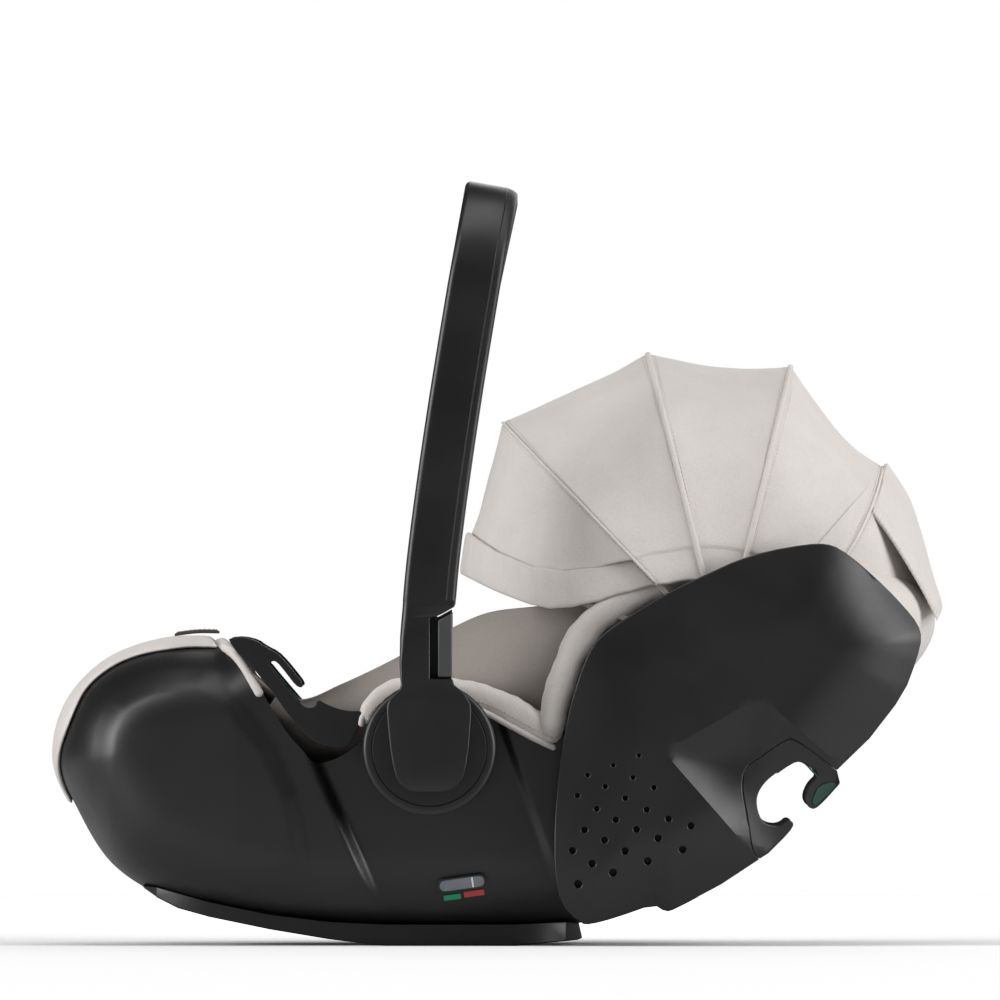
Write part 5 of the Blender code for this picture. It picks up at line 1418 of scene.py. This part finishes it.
def seat_block(name, s, v, height, size, look, body, bevel):
    """A moulded block that lies over the seat surface."""
    point, axes = seat_frame(s, v, height)
    corners = [point + np.array(axes).T @ corner for corner in BOX_CORNERS * np.array(size) / 2]
    return add_bevel(add_piece(name, corners, BOX_FACES, look, body, 30), bevel, 40)


def make_headrest():
    plate_grid, up = seat_patch((13, 16), 4, 24, 40)
    layer("headrest_plate", plate_grid, up, 0.0060, 0.0090, "black", "headrest", ("headrest_frame",))
    cushion, up = seat_patch((13, 16), 4, 70, 110)
    v = np.linspace(-1, 1, cushion.shape[1])[None, :]
    t = np.linspace(0, 1, len(cushion))[:, None]
    bolster = 0.0035 * smooth_step((np.abs(v) - 0.55) / 0.3)
    seams = 0.0030 * groove(np.abs(v), 0.55, 0.05) + 0.0022 * groove(t, 0.5, 0.04) * (np.abs(v) < 0.55)
    relief = bolster - seams + wrinkles(cushion, 0.0010, 12)
    pad("headrest_cushion", cushion, up, 0.0100, 0.0240, 0.010, "beige", "headrest", relief,
        ("headrest_pad",))


def make_harness():
    s = even(44, 0.605, 0.478)
    out = np.linspace(0.17, 0.06, 44)
    for side, tag in SIDES:
        ribbon(f"shoulder_belt_{tag}", s, side * out, 0.0275, 0.0290, 0.030, "webbing",
               (f"shoulder_strap_{tag}",))
        ribbon(f"shoulder_cushion_{tag}", s[:26], side * out[:26], 0.0298, 0.0380, 0.044, "grey",
               (f"shoulder_pad_{tag}",), True)
        seat_block(f"buckle_tongue_{tag}", 0.432, side * 0.050, 0.0335, (0.026, 0.040, 0.006), "steel",
                   "carrier", 0.0015)
    over = even(60, -0.60, 0.60)
    ribbon("lap_belt", 0.402 - 0.02 * np.abs(over), over, 0.0215, 0.0230, 0.026, "webbing", ("lap_strap",))
    ribbon("crotch_belt", even(16, 0.280, 0.320), np.zeros(16), 0.0200, 0.0220, 0.036, "webbing",
           ("crotch_strap",))
    ribbon("crotch_cushion", even(26, 0.270, 0.305), np.zeros(26), 0.0230, 0.0310, 0.052, "grey",
           ("crotch_pad",), True)
    refined("buckle_body", "black_fine", "carrier", 0.0012)
    refined("buckle_button", "red", "buckle_button", 0.0008)
    refined("belt_adjuster", "black_fine", "carrier", 0.0008)
    refined("adjuster_button", "button", "adjuster_button", 0.0006)


# ---------------------------------------------------------------- small parts on the sides
def capsule(x, z, long, high, tilt):
    """Outline of a bar with half-round ends."""
    turn = np.concatenate([np.linspace(-90, 90, 12), np.linspace(90, 270, 12)])
    shift = np.repeat([1, -1], 12) * (long - high) / 2
    u = shift + high / 2 * np.cos(np.radians(turn))
    v = high / 2 * np.sin(np.radians(turn))
    c, s = math.cos(tilt), math.sin(tilt)
    return np.stack([x + u * c - v * s, z + u * s + v * c], 1)


def badge(name, outline, low, high, side, look, holes=(), stands_for=(), bevel=0.0003):
    """A thin plate on the shell's side, between two heights over it."""
    return plate(name, outline, over(shell_side, high), over(shell_side, low), side, look, "carrier", holes,
                 bevel=bevel, stands_for=stands_for)


GAUGE = (-0.0279, 0.0473)
GAUGE_TILT = math.radians(8)


def on_gauge(u, v):
    c, s = math.cos(GAUGE_TILT), math.sin(GAUGE_TILT)
    return GAUGE[0] + u * c - v * s, GAUGE[1] + u * s + v * c


def box_on_gauge(u0, v0, u1, v1):
    return [on_gauge(u, v) for u, v in ((u0, v0), (u1, v0), (u1, v1), (u0, v1))]


def make_level_gauge():
    window = capsule(*GAUGE, 0.0345, 0.0085, GAUGE_TILT)
    bezel = capsule(*GAUGE, 0.0375, 0.0113, GAUGE_TILT)
    mark = box_on_gauge(0.0076, -0.0038, 0.0088, 0.0038)
    fields = (("green", box_on_gauge(-0.0150, -0.0112, -0.0020, -0.0072)),
              ("red", box_on_gauge(0.0004, -0.0108, 0.0160, -0.0064)))
    for side, tag in SIDES:
        badge(f"gauge_window_{tag}", window, 0.0012, 0.0026, side, "window",
              stands_for=(f"level_gauge_{tag}",))
        badge(f"gauge_bezel_{tag}", bezel, 0.0004, 0.0031, side, "black_fine", [window[::-1]], bevel=0.0005)
        badge(f"gauge_mark_{tag}", mark, 0.0020, 0.0028, side, "white", bevel=0.0)
        for look, outline in fields:
            badge(f"gauge_{look}_{tag}", outline, 0.0001, 0.0007, side, look)


# ---------------------------------------------------------------- stage, lights and camera
LIGHT_TARGET = (0, 0, 0.28)
LIGHTS = [   # name, place, size, power
    ("key", (-1.5, -1.3, 2.0), (1.0, 1.0), 13), ("left", (-2.4, -0.95, 0.7), (1.6, 1.5), 50),
    ("right", (2.3, -1.0, 0.25), (1.5, 1.3), 38), ("upper_right", (1.8, -1.15, 1.5), (1.2, 1.2), 24),
    ("top", (0.1, -0.3, 2.3), (2.0, 1.4), 16), ("back", (0.6, 2.0, 1.1), (1.6, 1.0), 14),
]
WHITE = (1.0, 1.0, 1.0, 1.0)
WORLD_LIGHT = 0.07               # strength that lights the object
WORLD_SEEN = 1.0                 # strength that the camera sees behind it
FLOOR_HALF = 4.0
FLOOR_DARK, FLOOR_LIGHT = (0.59, 0.59, 0.59), (0.61, 0.61, 0.61)
SENSOR = 36.0                    # millimetres
CAMERA_DISTANCE = 34.0
CAMERA_X, CAMERA_HEIGHT = 0.0011, 0.3388
VIEW_WIDTH = 0.763               # width of the view at the middle plane


def area_light(name, place, size, power):
    light = bpy.data.lights.new(name, "AREA")
    light.shape = "RECTANGLE"
    light.size, light.size_y = size
    light.energy = power
    obj = bpy.data.objects.new(name, light)
    obj.location = place
    obj.rotation_euler = (Vector(LIGHT_TARGET) - Vector(place)).to_track_quat("-Z", "Y").to_euler()
    bpy.context.scene.collection.objects.link(obj)


def make_stage():
    scene = bpy.context.scene
    scene.view_settings.view_transform = "Standard"
    world = bpy.data.worlds.new("studio")
    world.use_nodes = True
    scene.world = world
    tree = world.node_tree
    around = tree.nodes["Background"]
    seen = tree.nodes.new("ShaderNodeBackground")
    for light, strength in ((around, WORLD_LIGHT), (seen, WORLD_SEEN)):
        light.inputs["Color"].default_value = WHITE
        light.inputs["Strength"].default_value = strength
    path = tree.nodes.new("ShaderNodeLightPath")
    mix = tree.nodes.new("ShaderNodeMixShader")
    tree.links.new(path.outputs["Is Camera Ray"], mix.inputs[0])
    tree.links.new(around.outputs[0], mix.inputs[1])
    tree.links.new(seen.outputs[0], mix.inputs[2])
    tree.links.new(mix.outputs[0], tree.nodes["World Output"].inputs["Surface"])
    mesh = bpy.data.meshes.new("floor")
    half = FLOOR_HALF
    corners = [(-half, -half, 0), (half, -half, 0), (half, half, 0), (-half, half, 0)]
    mesh.from_pydata(corners, [], [[0, 1, 2, 3]])
    floor = bpy.data.objects.new("floor", mesh)
    made, tree, shader = new_material("floor_paint", FLOOR_LIGHT, 0.9)
    tree.links.new(mixed(tree, noise(tree, 3), FLOOR_DARK, FLOOR_LIGHT), shader.inputs["Base Color"])
    mesh.materials.append(made)
    scene.collection.objects.link(floor)
    floor.is_shadow_catcher = True
    for light in LIGHTS:
        area_light(*light)
    lens = bpy.data.cameras.new("camera")
    lens.sensor_width = SENSOR
    lens.lens = SENSOR * CAMERA_DISTANCE / VIEW_WIDTH
    lens.clip_end = 100
    camera = bpy.data.objects.new("camera", lens)
    camera.location = (CAMERA_X, -CAMERA_DISTANCE, CAMERA_HEIGHT)
    camera.rotation_euler = (math.pi / 2, 0, 0)
    scene.collection.objects.link(camera)
    scene.camera = camera


make_shell()
make_foot_cover()
make_head_cover()
make_rear_panels()
make_guides()
make_base()
make_hubs()
make_handle()
make_canopy()
make_padding()
make_rims()
make_tag()
make_headrest()
make_harness()
make_level_gauge()
refined("release_lever", "button", "release_lever", 0.0012)
make_stage()
